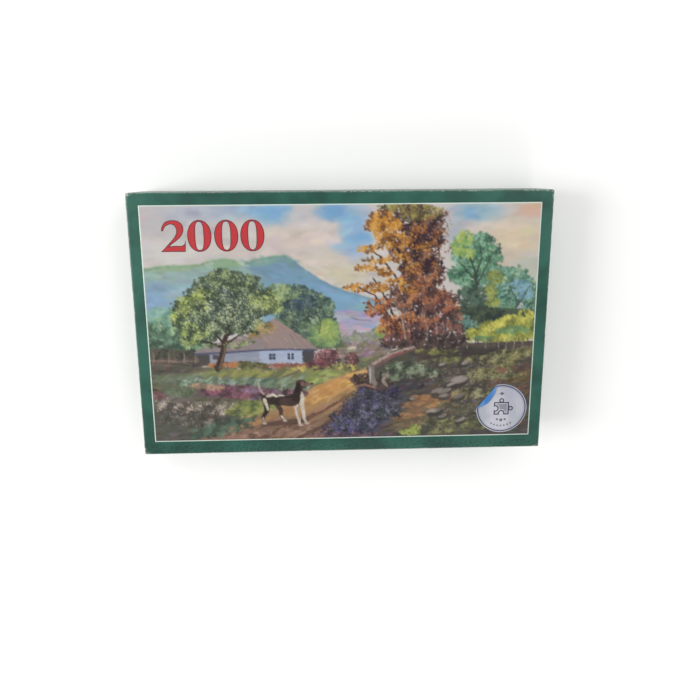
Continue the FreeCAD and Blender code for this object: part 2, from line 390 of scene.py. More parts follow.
def paint_hills(canvas):
    green_ridge = [(0, 65), (22, 62), (40, 62), (56, 61), (68, 57), (84, 55), (94, 57), (102, 62),
                   (112, 70)]
    blue_ridge = [(96, 66), (104, 60), (116, 56), (130, 53), (144, 52), (152, 57), (163, 66), (181, 78),
                  (194, 85), (207, 90), (220, 94), (232, 98), (246, 100)]
    canvas.fill(blue_ridge + [(246, 128), (96, 128)], "6f8c9e", "7e9fb4")
    canvas.fill(green_ridge + [(112, 128), (0, 128)], "8ca298", "829fb6")
    for x, y, a, b, code, cover, angle in [
            (20, 70, 40, 7, "8da29e", 0.6, 0), (84, 60, 22, 6, "84a07e", 0.9, 0),
            (30, 64, 40, 4, "8da486", 0.9, -3), (12, 96, 22, 22, "809cb6", 0.9, 0),
            (40, 90, 26, 14, "8ea6b2", 0.8, 0), (14, 84, 20, 6, "8098ac", 0.8, 0),
            (124, 58, 24, 5, "7b9a90", 0.9, -8), (150, 58, 12, 5, "6f8e94", 0.9, 40),
            (140, 70, 26, 9, "708fa6", 0.9, 10), (176, 86, 22, 8, "7698b2", 0.9, 30),
            (206, 98, 26, 7, "7aa0bc", 0.95, 12), (186, 104, 34, 8, "7499b2", 0.9, 4),
            (228, 106, 22, 5, "84a6ae", 0.9, 6), (240, 112, 14, 4, "8aa696", 0.8, 4)]:
        canvas.blot(x, y, a, b, code, cover, angle)
    canvas.brush_over((0, 54, 250, 118), 900, 6, 1.6, 10, 14, 0.035, 0.01)
    canvas.line(blue_ridge[1:6], 1.8, 1.4, "6f9080", 0.6, 0.3)
    canvas.line(blue_ridge[5:], 1.6, 1.2, "64869a", 0.6, 0.3)
    canvas.line(green_ridge[:7], 2.2, 2.0, "7c9a78", 0.6, 0.3)
    canvas.soften(1.0)


def paint_far_valley(canvas):
    canvas.fill([(196, 112), (250, 112), (250, 150), (196, 150)], "a09fae", "a9a6b2")
    canvas.brush_over((196, 111, 250, 148), 420, 7, 1.8, 2, 6, 0.02)
    canvas.line([(212, 118), (219, 120), (232, 121)], 1.6, 0.6, "7a7686", 0.7)
    canvas.leaves([(222, 139, 20, 6), (240, 136, 10, 9), (206, 144, 12, 6)], "7c7f80 8a8783 8d9270 77786f",
                  240, 2.4)
    canvas.leaves([(214, 155, 26, 12), (238, 152, 16, 10)], "8b7a84 7d6d74 94807c 80785f 6f6a58", 520, 2.3)
    canvas.leaves([(244, 134, 8, 7)], "94a05e a8a866 7c8a58", 130, 2)


def paint_left_trees(canvas):
    canvas.fill([(0, 124), (56, 124), (66, 140), (62, 168), (0, 168)], "5a7466", "4a4a42")
    canvas.leaves([(10, 118, 16, 14), (34, 116, 20, 14), (22, 128, 26, 12)], "64887e 7fa396 8db0a0", 420,
                  3.4, 0.7)
    canvas.leaves([(8, 134, 14, 14), (32, 138, 18, 14), (52, 142, 12, 10)], "3f5044 4c6352 5c7560 6c8a72",
                  620, 2.6)
    canvas.leaves([(26, 124, 18, 10), (40, 134, 14, 12), (50, 146, 12, 8)], "6f8f72 86a27c 94ac84", 240,
                  1.8, 0.8, light=0.3)
    canvas.leaves([(14, 156, 22, 8), (46, 156, 18, 6)], "3f4139 4c4c40 5c554b", 420, 2.2)
    canvas.leaves([(12, 163, 18, 4), (44, 163, 20, 4)], "574844 665450 75605a", 200, 1.8, stretch=3,
                  angle=0)
    for x in (4, 20, 36, 48):
        canvas.line([(x, 164), (x + 1, 153)], 0.9, 0.6, "8d8278", 0.6, 0.3)
    canvas.line([(0, 161), (30, 163), (48, 162)], 0.8, 0.6, "8d7c70", 0.6, 0.3)


def paint_second_tree(canvas):
    clumps = [(132, 94, 14, 10), (150, 90, 18, 8), (166, 98, 20, 10), (184, 108, 12, 12),
              (158, 108, 24, 14), (150, 118, 18, 10), (180, 122, 16, 12), (168, 128, 20, 14)]
    canvas.fill([(140, 98), (176, 100), (198, 126), (204, 150), (172, 152), (136, 124)], "50624f", "56634e")
    canvas.leaves(clumps, "3c4a46 455650 50624f 5c6f58", 1300, 2.8)
    canvas.leaves(clumps, "50645c 63786a 748a70 86987c", 620, 1.5, 0.8, light=0.2)
    canvas.leaves(clumps, "27302e 303a38 8a9a84 a4b098", 420, 0.8, stretch=1.3, loose=0.5)
    canvas.leaves([(138, 88, 14, 7), (150, 96, 12, 7)], "6d8060 8a9c70 9cab7c", 200, 1.6, 0.8, light=0.2)
    canvas.leaves([(164, 100, 14, 8), (152, 104, 12, 7)], "333e42 3f4e58 4a5c68", 260, 1.5)
    canvas.leaves([(186, 134, 15, 16), (176, 138, 10, 10)], "647c5a 768e60 889e68", 420, 2.2, 0.75)
    canvas.leaves([(188, 132, 10, 12)], "8f9f5c a2ae64 849a5c", 240, 1.8, 0.7, light=0.1)
    for x, y in [(150, 104), (166, 98), (178, 110)]:
        canvas.line([(x, y + 24), (x + 2, y + 12), (x - 3, y)], 0.8, 0.4, "35352f", 0.6, 0.3)


def paint_cottage(canvas):
    canvas.fill([(47, 153), (62, 146), (78, 141), (96, 137), (112, 128), (126, 121), (133, 118), (140, 123),
                 (156, 134), (168, 143), (176, 151), (168, 152), (120, 151), (80, 153), (50, 155)],
                "92807c", "857a7c")
    canvas.fill([(122, 123), (133, 118), (156, 134), (176, 151), (168, 152), (118, 150), (120, 136)],
                "958078", "8d7d7a")
    canvas.brush_over((48, 118, 176, 152), 360, 4.2, 0.8, 38, 16, 0.045, 0.01)
    canvas.fill([(62, 153), (116, 151), (116, 168), (62, 168)], "84899c", "8f929c")
    canvas.fill([(115, 150), (160, 151), (160, 168), (115, 167)], "98a4bc", "a0a6b6")
    canvas.fill([(160, 151), (173, 151), (172, 168), (160, 169)], "45454e", "4c4644")
    canvas.fill([(50, 154), (63, 153), (63, 168), (53, 167)], "46484a", "504a45")
    canvas.brush_over((62, 151, 160, 168), 160, 4, 1.1, 0, 8, 0.03, 0.008)
    canvas.line([(48, 155), (84, 153.4), (116, 151.4), (146, 151.0), (175, 152.4)], 2.4, 1.6, "525465",
                0.85)
    for x, width in ((125, 7.0), (144.6, 6.6)):
        canvas.fill([(x - 0.8, 154.8), (x + width + 0.8, 154.8), (x + width + 0.8, 163.2),
                     (x - 0.8, 163.2)], "b2b9cc")
        canvas.fill([(x, 155.4), (x + width, 155.4), (x + width, 162.4), (x, 162.4)], "333a48", "434d5a")
        canvas.line([(x + width / 2, 155.4), (x + width / 2, 162.4)], 0.7, 0.7, "a2a9bd")
        canvas.line([(x, 158.4), (x + width, 158.4)], 0.5, 0.5, "98a0b4", 0.7)
    canvas.fill([(66, 156), (72, 156), (72, 161), (66, 161)], "4a4550", "5a4f4c")
    canvas.leaves([(78, 167, 18, 3.4), (96, 167, 12, 3)], "5c4a3c 74584a 94684e a57450", 260, 1.8)
    canvas.leaves([(140, 169, 30, 3), (166, 169, 10, 3)], "6c4c44 84584c 966654", 320, 1.6, stretch=3,
                  angle=0)
    canvas.leaves([(104, 168, 12, 4), (118, 169, 6, 3)], "4c4c38 5f6244 70724c", 200, 1.7)
    canvas.line([(114, 171), (136, 168), (160, 169), (178, 171)], 0.8, 0.6, "7c5048", 0.7, 0.4)


def paint_great_tree(canvas):
    trunk = [(71, 171), (74, 163), (77, 153), (79, 142), (84, 126), (90, 108)]
    crown = [(84, 72, 18, 7), (68, 80, 18, 9), (100, 80, 20, 10), (56, 92, 16, 10), (84, 92, 26, 13),
             (116, 94, 18, 10), (44, 106, 18, 11), (70, 110, 22, 13), (98, 112, 26, 13), (124, 104, 14, 9),
             (36, 118, 12, 9), (50, 124, 16, 11), (76, 126, 20, 10), (104, 126, 22, 9), (44, 138, 13, 8),
             (62, 134, 14, 7)]
    canvas.leaves(crown, "424c42 4e5849 596552 66725a", 1900, 2.7, 0.8)
    for bend in (
            [(79, 144), (66, 128), (54, 116), (42, 110)], [(80, 138), (96, 122), (110, 110), (122, 102)],
            [(82, 130), (78, 108), (70, 88)], [(84, 124), (94, 100), (98, 80)],
            [(79, 146), (96, 134), (108, 130)], [(78, 148), (62, 142), (50, 140)]):
        canvas.line(bend, 2.2, 0.6, "352f29", 0.85, 0.3)
    canvas.line(trunk, 7.0, 3.0, "41352f", 0.95, 0.25)
    canvas.line([(x + 1.6, y) for x, y in trunk[:4]], 1.8, 1.0, "75604f", 0.6, 0.3)
    canvas.leaves(crown, "465044 566250 6d7a5c 869468", 1900, 1.6, light=0.1)
    canvas.leaves([(84, 94, 24, 18), (96, 112, 22, 14)], "3a4542 46524c 525e56", 420, 1.7, 0.75)
    canvas.leaves([(48, 102, 18, 10), (34, 114, 9, 8), (62, 92, 12, 7)], "46523c 5f6e46 8d9a56 a9b460", 560,
                  1.5, light=0.1)
    canvas.leaves([(122, 96, 16, 8), (130, 106, 11, 8), (112, 104, 10, 6)], "4b5742 66754c 8b985c a7b06c",
                  460, 1.5, light=0.1)
    canvas.leaves([(44, 140, 13, 8), (54, 130, 12, 8), (40, 126, 10, 7)], "46523c 5f7048 8a995c 9dab60",
                  340, 1.5, light=0.1)
    canvas.leaves([(82, 76, 20, 8), (100, 84, 14, 8)], "4b5842 6a7956 8d9c70", 300, 1.3, 0.8, light=0.2)
    canvas.leaves([(76, 112, 34, 20), (98, 112, 26, 16)], "76816a 98a07f b9bca0", 520, 0.95, 0.75,
                  stretch=1.3)
    canvas.leaves(crown, "343d38 3f4a42", 420, 1.3, 0.7)
    canvas.leaves(crown, "242c28 2c3530 a9b48a c0c8a4", 900, 0.75, 0.9, stretch=1.3, loose=0.5)
    canvas.leaves([(122, 128, 12, 7), (112, 136, 9, 4)], "8a744c a08a5c a89a6c", 150, 1.4)
    canvas.leaves([(90, 146, 12, 4), (104, 142, 8, 4), (66, 146, 7, 3)], "4c5840 7c8a5c 9aa474", 150, 1.2)


def paint_meadow(canvas):
    canvas.fill([(0, 165), (60, 169), (130, 171), (200, 166), (250, 158), (250, 253), (0, 253)], "686753",
                "555149")
    for x, y, a, b, code, cover in [
            (20, 172, 40, 7, "544e49", 0.9), (90, 177, 60, 6, "7d7c56", 0.9),
            (40, 182, 50, 8, "69715f", 0.9), (112, 188, 58, 7, "7a8470", 0.9),
            (166, 186, 40, 8, "7b8564", 0.9), (190, 178, 36, 5, "868a58", 0.9),
            (80, 198, 60, 8, "655258", 0.9), (20, 206, 34, 12, "6b6561", 0.8),
            (112, 214, 40, 10, "788054", 0.95), (40, 224, 60, 12, "524e4a", 0.9),
            (76, 240, 40, 12, "54654f", 0.9), (16, 240, 30, 14, "555650", 0.9)]:
        canvas.blot(x, y, a, b, code, cover)
    canvas.brush_over((0, 166, 200, 253), 1900, 4.2, 1.1, -6, 14, 0.09, 0.016)
    canvas.leaves([(100, 177, 50, 4), (160, 174, 24, 3)], "6c7448 85864f 9a965a", 300, 2.2, 0.8, stretch=3,
                  angle=-5)
    canvas.leaves([(120, 187, 50, 5), (60, 186, 40, 5), (150, 194, 18, 4)], "4f5f50 66786a 7f9282 94a694",
                  620, 1.7, 0.8, stretch=2.4, angle=-8)
    canvas.leaves([(196, 178, 22, 3), (176, 186, 18, 4)], "6f7c4c 8a9458 9ba262", 200, 2.4, 0.8,
                  stretch=3.4, angle=-14)


def paint_flower_beds(canvas):
    canvas.leaves([(84, 196, 36, 7), (118, 200, 20, 6), (150, 200, 16, 5)], "41353c 574248 6c4a56 7c5866",
                  760, 1.7)
    canvas.leaves([(8, 200, 9, 6), (92, 202, 20, 4), (70, 196, 16, 4)], "66444a 80525c 90606a", 300, 1.3)
    canvas.leaves([(52, 190, 14, 3), (66, 192, 12, 3)], "8d7562 a38469 aa9078", 120, 1.4)
    canvas.leaves([(30, 196, 18, 6)], "4c5a48 5f6c52 6a7860", 160, 1.7)
    canvas.leaves([(106, 196, 12, 4), (128, 200, 10, 4), (110, 206, 10, 4)], "7a6678 8d7488 6c5a6c", 150,
                  1.3)
    canvas.leaves([(36, 214, 36, 7), (62, 218, 26, 7), (72, 210, 18, 4), (12, 208, 14, 5)],
                  "45413c 4f4a44 75695f a3958a b8aa9e", 900, 1.0, 0.8, stretch=1.3, loose=0.3)
    canvas.leaves([(40, 228, 34, 7), (64, 234, 24, 6)], "3f3d39 55524c 807a72", 420, 1.2)
    canvas.leaves([(112, 212, 26, 6), (96, 220, 22, 6), (126, 208, 12, 4)], "505a3c 6c7444 7e844c 8e9056",
                  520, 2.0, stretch=3, angle=-14)
    canvas.leaves([(78, 238, 26, 7), (56, 244, 24, 6), (92, 230, 18, 4)], "3b463e 475a4c 566c5c", 380, 2.2,
                  0.8, stretch=3, angle=-16)


def paint_path(canvas):
    """A sand track that comes from the right of the cottage and widens towards the lower left."""
    canvas.fill([(236, 172), (222, 176), (196, 184), (172, 193), (150, 206), (134, 216), (112, 228),
                 (74, 240), (44, 253), (178, 253), (196, 240), (212, 222), (226, 204), (238, 190)],
                "b48f62", "7e6454")
    for x, y, a, b, code, cover, angle in [
            (214, 182, 30, 7, "bd9564", 0.9, -14), (190, 196, 32, 10, "b68650", 0.95, -26),
            (166, 212, 28, 10, "a47e52", 0.9, -30), (128, 238, 44, 9, "75594c", 0.9, -14),
            (190, 232, 30, 8, "6c5448", 0.9, -36), (96, 248, 50, 7, "856858", 0.9, -8),
            (216, 208, 16, 10, "7c6450", 0.9, -40), (160, 244, 30, 6, "8d6f5e", 0.8, -14)]:
        canvas.blot(x, y, a, b, code, cover, angle)
    for shift, code, width in [
            (4, "5c463a", 2.6), (10, "6f5646", 2.0), (-9, "97744e", 1.6), (16, "4f3f38", 2.4),
            (-16, "c09a68", 1.4), (22, "8d6e56", 1.8), (27, "54423c", 1.8)]:
        canvas.line([(230 + shift * 0.3, 184 + shift * 0.4), (208 + shift * 0.5, 200 + shift * 0.7),
                     (178 + shift * 0.8, 217 + shift), (140 + shift, 234 + shift),
                     (100 + shift, 247 + shift)], width * 0.6, width * 1.5, code, 0.5, 0.7)
    canvas.brush_over((60, 172, 236, 253), 900, 7, 1.0, -32, 9, 0.05, 0.012)
    canvas.leaves([(196, 194, 24, 6), (172, 206, 18, 6)], "ab8150 bd9158 c69e68", 130, 4, 0.5, stretch=4,
                  angle=-28)
    canvas.leaves([(118, 246, 50, 5), (160, 242, 26, 5)], "5c463e 84695a a08272", 200, 4, 0.6, stretch=4,
                  angle=-14)


def paint_autumn_tree(canvas):
    canvas.leaves([(268, 14, 26, 14), (290, 30, 20, 20), (272, 44, 22, 16), (286, 70, 24, 20),
                   (276, 96, 28, 18), (300, 108, 22, 20), (278, 130, 32, 16)],
                  "38282c 463234 553f3a 6a4c42", 2000, 2.5, 0.7)
    for bend in (
            [(276, 150), (274, 122), (278, 90), (276, 52), (272, 14)],
            [(272, 148), (258, 122), (248, 98), (234, 76)], [(264, 142), (252, 118), (236, 94), (216, 84)],
            [(282, 148), (290, 118), (298, 88), (302, 56), (300, 24)], [(262, 134), (246, 114), (230, 104)],
            [(276, 100), (258, 76), (242, 54), (230, 46)], [(278, 72), (260, 48), (246, 28), (234, 18)],
            [(284, 140), (302, 124), (316, 112)]):
        canvas.line(bend, 2.0, 0.6, "33272a", 0.85, 0.35)
    orange = "6c4830 8a5e30 ac7634 bd873c c49248"
    canvas.leaves([(238, 22, 14, 8), (254, 26, 12, 7), (262, 38, 18, 8), (248, 42, 12, 5), (228, 46, 11, 4),
                   (262, 54, 12, 7), (238, 58, 16, 4), (226, 66, 14, 4), (246, 70, 9, 5), (284, 44, 12, 6),
                   (274, 66, 14, 6)], orange, 900, 1.7, 0.88)
    canvas.leaves([(216, 86, 13, 5), (238, 86, 14, 6), (258, 80, 12, 6), (272, 86, 12, 8)], orange, 360,
                  1.6, 0.88)
    canvas.leaves([(290, 92, 22, 14), (284, 76, 20, 10), (312, 102, 14, 12), (268, 100, 14, 9)],
                  "4c3832 6c483a 925e42 aa7450", 700, 1.5)
    canvas.leaves([(240, 104, 16, 7), (236, 112, 12, 5), (254, 122, 14, 7), (248, 130, 10, 5),
                   (286, 124, 16, 7), (262, 134, 12, 6), (270, 116, 8, 6)], "5c3c32 84503a a8683e ba7c48",
                  560, 1.6, 0.88)
    canvas.leaves([(268, 4, 30, 5), (290, 10, 20, 8), (274, 14, 16, 5)], "4c4434 645a3c 847846 958a50", 520,
                  1.6)
    canvas.leaves([(242, 12, 12, 6), (236, 22, 10, 8), (252, 20, 12, 6), (246, 32, 12, 6)], orange, 420,
                  1.6, 0.88)
    canvas.leaves([(292, 28, 16, 16), (278, 34, 12, 8), (286, 52, 16, 12), (296, 66, 12, 12),
                   (268, 66, 8, 8)], "2e2028 3c2a2e 543c38 80583e", 620, 1.5)
    canvas.leaves([(276, 26, 16, 6), (270, 40, 14, 6), (292, 60, 10, 8), (300, 36, 8, 10)],
                  "3a262c 7a4e34 a06a38", 260, 1.4)
    canvas.leaves([(302, 20, 12, 16), (306, 44, 8, 14), (282, 58, 12, 8)], "7a5a48 94705a", 110, 1.3)
    canvas.leaves([(304, 104, 18, 14), (296, 124, 16, 8), (318, 118, 12, 12)], "4c3636 704840 945c48", 420,
                  1.4)
    canvas.leaves([(290, 132, 22, 10), (318, 134, 14, 12), (262, 142, 22, 8)],
                  "3a3032 4c3c3e 644644 7c524c", 560, 1.7)
    canvas.leaves([(250, 92, 14, 10), (260, 110, 14, 12), (282, 112, 18, 14)], "9c8876 b8a690", 80, 0.8)
    for x, top, foot in (
            (256, 100, 270), (262, 112, 268), (286, 108, 292), (298, 116, 302), (308, 122, 306)):
        canvas.line([(foot, 146), ((foot + x) / 2 + 2, (146 + top) / 2), (x, top)], 0.8, 0.4, "9f8c78",
                    0.55, 0.3)
    canvas.leaves([(276, 148, 34, 5), (314, 144, 22, 9)], "35302f 453a38 564440", 460, 2)


def paint_right_trees(canvas):
    tall = [(326, 44, 12, 12), (346, 40, 12, 10), (356, 54, 12, 10), (336, 58, 20, 12), (350, 70, 16, 10),
            (324, 74, 12, 10), (340, 84, 14, 8)]
    canvas.leaves(tall, "3f5a4a 4f6d58 5f8068 6b8c78", 820, 2.8, 0.75)
    canvas.leaves(tall, "4f7862 649476 7aa482 8db49c", 520, 1.7, 0.8, light=0.2, loose=0.24)
    canvas.leaves([(354, 48, 12, 14), (346, 66, 16, 12), (330, 76, 12, 8)], "2f4a40 42664f 5a8a66", 300,
                  1.3)
    canvas.leaves([(328, 36, 10, 8), (322, 46, 9, 8), (332, 52, 8, 6)], "7c9a58 95a85c a5b264", 240, 1.9,
                  0.8)
    canvas.line([(342, 112), (343, 90), (340, 72), (334, 56)], 3.0, 1, "37423a", 0.8, 0.3)
    for bend in (
            [(342, 86), (350, 68), (356, 54)], [(341, 80), (330, 68), (322, 60)],
            [(341, 74), (346, 56), (344, 44)]):
        canvas.line(bend, 1.4, 0.5, "37423a", 0.75, 0.3)
    canvas.leaves([(338, 98, 16, 14), (348, 110, 14, 10)], "3c4a42 4a5c50 566a5a", 420, 2.4)
    broad = [(366, 74, 13, 9), (382, 76, 16, 10), (396, 88, 10, 12), (364, 90, 13, 10), (382, 96, 18, 12),
             (400, 106, 8, 12), (370, 106, 16, 8)]
    canvas.leaves(broad, "4f6c58 5f7d66 6f8f72", 820, 2.7, 0.8)
    canvas.leaves(broad, "547e68 72988a 80a698 96b090", 460, 1.7, 0.8, light=0.2, loose=0.24)
    canvas.leaves([(384, 92, 22, 12), (392, 108, 14, 10)], "30483f 446258 5c8480", 300, 1.2)
    canvas.leaves([(362, 76, 10, 8), (357, 92, 7, 9), (360, 104, 9, 6)], "5c6840 7c8448 949850", 300, 1.6,
                  0.8)
    canvas.leaves([(388, 86, 12, 7), (394, 96, 8, 6)], "6a8fa0 7fa2b0", 150, 1.9, 0.7)
    for bend in ([(386, 122), (384, 100), (376, 86)], [(385, 110), (394, 94), (398, 86)]):
        canvas.line(bend, 1.0, 0.5, "3f5048", 0.7, 0.3)
    canvas.fill([(318, 108), (350, 108), (406, 112), (406, 132), (318, 134)], "4a5c4c", "4c5642")
    canvas.leaves([(350, 116, 26, 8), (328, 120, 14, 14), (378, 117, 26, 4)], "2f3834 3c463c 4a5444", 720,
                  2.0)
    canvas.leaves([(336, 130, 9, 8), (330, 122, 8, 6)], "5f8078 769a8c", 130, 1.8, 0.75)
    canvas.leaves([(342, 138, 12, 7), (362, 134, 16, 10), (384, 128, 18, 10), (398, 134, 12, 12),
                   (372, 142, 28, 6)], "5f6638 7a7f40 8f9450 a3a556", 900, 2.3, 0.88)
    canvas.leaves([(340, 138, 9, 5), (358, 130, 12, 6), (380, 124, 16, 6), (396, 118, 10, 6),
                   (368, 142, 8, 5)], "7c8044 a3a24c b8b258 c0ba5c", 420, 1.8, light=0.1, stretch=2.2,
                  angle=70)
    canvas.leaves([(382, 134, 20, 4), (350, 142, 14, 3)], "5c7a56 6f9064", 130, 1.8, 0.75)


def paint_slope(canvas):
    """The shaded bank on the right: undergrowth, rocks and a patch of bare earth."""
    canvas.fill([(232, 172), (256, 154), (300, 148), (406, 146), (406, 253), (180, 253), (204, 226)],
                "504a44", "4a4744")
    for x, y, a, b, code, cover, angle in [
            (330, 158, 80, 8, "3f3a37", 0.9, 0), (262, 170, 24, 9, "4a4a42", 0.9, -10),
            (386, 162, 34, 8, "74734c", 0.9, -20), (366, 178, 34, 8, "6f6e48", 0.9, -24),
            (296, 170, 36, 8, "504c42", 0.9, -10), (394, 186, 18, 10, "65573f", 0.9, -20),
            (268, 194, 30, 8, "403c40", 0.9, -8), (304, 208, 34, 7, "8d6a50", 0.95, -8),
            (290, 220, 32, 7, "7d644c", 0.9, -10), (330, 222, 24, 8, "605a4a", 0.9, -14),
            (238, 214, 40, 16, "484658", 0.95, -10), (222, 236, 40, 16, "454558", 0.95, -6),
            (274, 236, 34, 10, "6c5c48", 0.9, -10), (330, 242, 50, 10, "5f5c48", 0.9, -10)]:
        canvas.blot(x, y, a, b, code, cover, angle)
    canvas.brush_over((200, 150, 406, 253), 2600, 4.6, 1.1, -18, 14, 0.11, 0.016)
    canvas.leaves([(268, 174, 22, 8), (288, 180, 20, 6), (256, 182, 12, 7)], "3c4238 4c5648 66745c 84927a",
                  620, 1.6, stretch=2.0, angle=-16)
    canvas.leaves([(300, 156, 24, 4), (318, 166, 20, 4)], "4c4a38 65643f 82804f", 260, 1.9, stretch=2.6,
                  angle=-10)
    canvas.leaves([(356, 166, 26, 6), (384, 160, 24, 6), (372, 182, 26, 7), (348, 182, 14, 7),
                   (340, 204, 22, 7), (318, 214, 14, 5)], "3c3a2f 55543e 6c6b48 888558 a3a070", 1700, 1.6,
                  0.7, stretch=3.4, angle=-24, loose=0.35)
    canvas.leaves([(394, 176, 14, 6), (366, 192, 16, 5), (396, 200, 10, 8)], "4c4034 6a4c3c 7a5a46", 220,
                  2.0, 0.6, stretch=3.0, angle=-24)
    canvas.leaves([(304, 208, 30, 5), (284, 216, 26, 4), (270, 228, 24, 4)], "75563f 96714f a67e5a", 260,
                  3.4, 0.7, stretch=4.5, angle=-10)
    canvas.leaves([(330, 176, 60, 16), (350, 206, 40, 18), (330, 238, 60, 10), (270, 176, 26, 10)],
                  "2e2b28 38352f 8f8d70 b0ac94 9d9188", 1300, 1.1, 0.8, stretch=4.2, angle=-26, loose=0.5)
    canvas.leaves([(372, 178, 7, 4), (397, 236, 5, 5)], "6c4a40 80554a", 60, 1.6, 0.6, stretch=1.8,
                  angle=-20)
    canvas.leaves([(320, 184, 50, 14), (352, 196, 40, 20), (330, 232, 56, 14), (380, 168, 22, 8)],
                  "34302b 45403a 8e8a6c aaa68e b4a898", 420, 1.5, 0.75, stretch=6.5, angle=-26, loose=0.7)
    canvas.leaves([(318, 236, 30, 6), (350, 240, 26, 6), (300, 246, 24, 4)], "45453a 666548 88885a", 520,
                  2.2, stretch=2.6, angle=-16)


def paint_rocks(canvas):
    for x, y, size in [
            (325, 188, 15), (317, 193, 8), (308, 200, 13), (312, 206, 8), (302, 223, 10), (310, 229, 7),
            (332, 169, 8), (308, 170, 7), (326, 207, 10), (276, 208, 5), (330, 234, 8), (349, 224, 6)]:
        canvas.dab(x, y + size * 0.25, size, size * 0.45, -0.3, rgb("3c3836"), 0.8)
        for _ in range(5):
            shift_x, shift_y = canvas.dice.normal(0, size * 0.25, 2)
            tone = rgb("857d76") * canvas.dice.uniform(0.75, 1.25)
            canvas.dab(x + shift_x, y + shift_y * 0.4, size * 0.55, size * 0.2, -0.35, tone, 0.7)


def paint_violet_flowers(canvas):
    beds = [(240, 200, 26, 7), (228, 214, 28, 9), (214, 228, 26, 10), (202, 242, 24, 8), (246, 224, 20, 8)]
    canvas.leaves(beds, "2c2b31 37353e 454350", 900, 2.0, 0.8)
    canvas.leaves(beds[:4], "36334a 453d68 55488a 7262a0", 520, 1.2, 0.8, stretch=2.2, angle=-20, loose=0.4)
    canvas.leaves([(232, 214, 34, 16)], "2a2a2b 3c403a 55604c 6c6a72", 420, 1.3, 0.7, stretch=2.6,
                  angle=-24, loose=0.5)
    canvas.leaves([(214, 234, 30, 9), (240, 222, 24, 9)], "454e50 5a6468 74768a", 320, 1.2, 0.8)
    canvas.leaves([(196, 249, 34, 4), (236, 250, 26, 3)], "4c4048 684c5a 80606c", 200, 1.4)
    canvas.leaves([(274, 247, 12, 4), (280, 242, 7, 4)], "667044 808a4c 949c54", 170, 1.5)


def paint_log(canvas):
    """A felled trunk that lies across its own stump at the end of the path."""
    canvas.leaves([(224, 186, 14, 8), (242, 192, 14, 7)], "332c2a 453a36 5a4a44", 300, 2)
    canvas.line([(278, 152), (262, 157), (246, 164), (231, 173)], 4.0, 7.4, "6a5450", 0.95, 0.2)
    canvas.line([(277, 150.4), (261, 155.4), (245, 162.4), (231, 171)], 2.0, 3.2, "9c8880", 0.85, 0.3)
    canvas.line([(266, 156), (256, 159), (250, 162)], 2.0, 1.4, "8a5854", 0.7, 0.3)
    canvas.line([(233, 172), (233, 182), (236, 191)], 6.2, 5.4, "77706a", 0.95, 0.2)
    canvas.line([(231.4, 173), (231.6, 190)], 1.8, 1.4, "a69e96", 0.7, 0.2)
    canvas.line([(250, 180), (245, 187), (249, 193)], 3.6, 3.0, "84786f", 0.85, 0.2)
    canvas.line([(243, 178), (242, 190)], 2.4, 2.4, "3a3431", 0.8, 0.2)
    canvas.line([(214, 193), (226, 192), (236, 195)], 1.0, 2.4, "84655a", 0.8, 0.3)


def paint_shrubs(canvas):
    canvas.leaves([(186, 162, 14, 10), (176, 168, 9, 6), (212, 164, 7, 7)], "44383a 54443f 4c4838", 360, 2)
    canvas.leaves([(186, 160, 14, 11), (176, 167, 9, 6), (212, 163, 7, 8)], "5c3a40 74424c 8a5660 a07a7c",
                  420, 1.1)
    for x, lean in ((177, -4), (182, 2), (187, -3), (192, 4), (211, 2), (216, -2)):
        canvas.line([(x, 172), (x + lean / 2, 164), (x + lean, 155)], 0.8, 0.4, "6d4248", 0.7, 0.3)
    canvas.leaves([(158, 172, 22, 3), (202, 172, 22, 4)], "6c6a48 8a8658 b8a860", 180, 1.5)


def paint_fence(canvas):
    x = 296.0
    while x < 402:
        top = 143 + canvas.dice.uniform(-2, 2)
        tone = "8e8078" if canvas.dice.uniform() > 0.6 else "4c403c"
        canvas.line([(x, 153), (x + canvas.dice.normal(0, 1), top)], 1.0, 0.6, tone, 0.7, 0.2)
        x += canvas.dice.uniform(3.5, 9)
    canvas.line([(280, 148), (302, 150), (326, 152)], 0.9, 0.7, "a0958c", 0.65, 0.25)
    canvas.line([(330, 150), (366, 149), (404, 151)], 0.8, 0.7, "574c47", 0.6, 0.3)


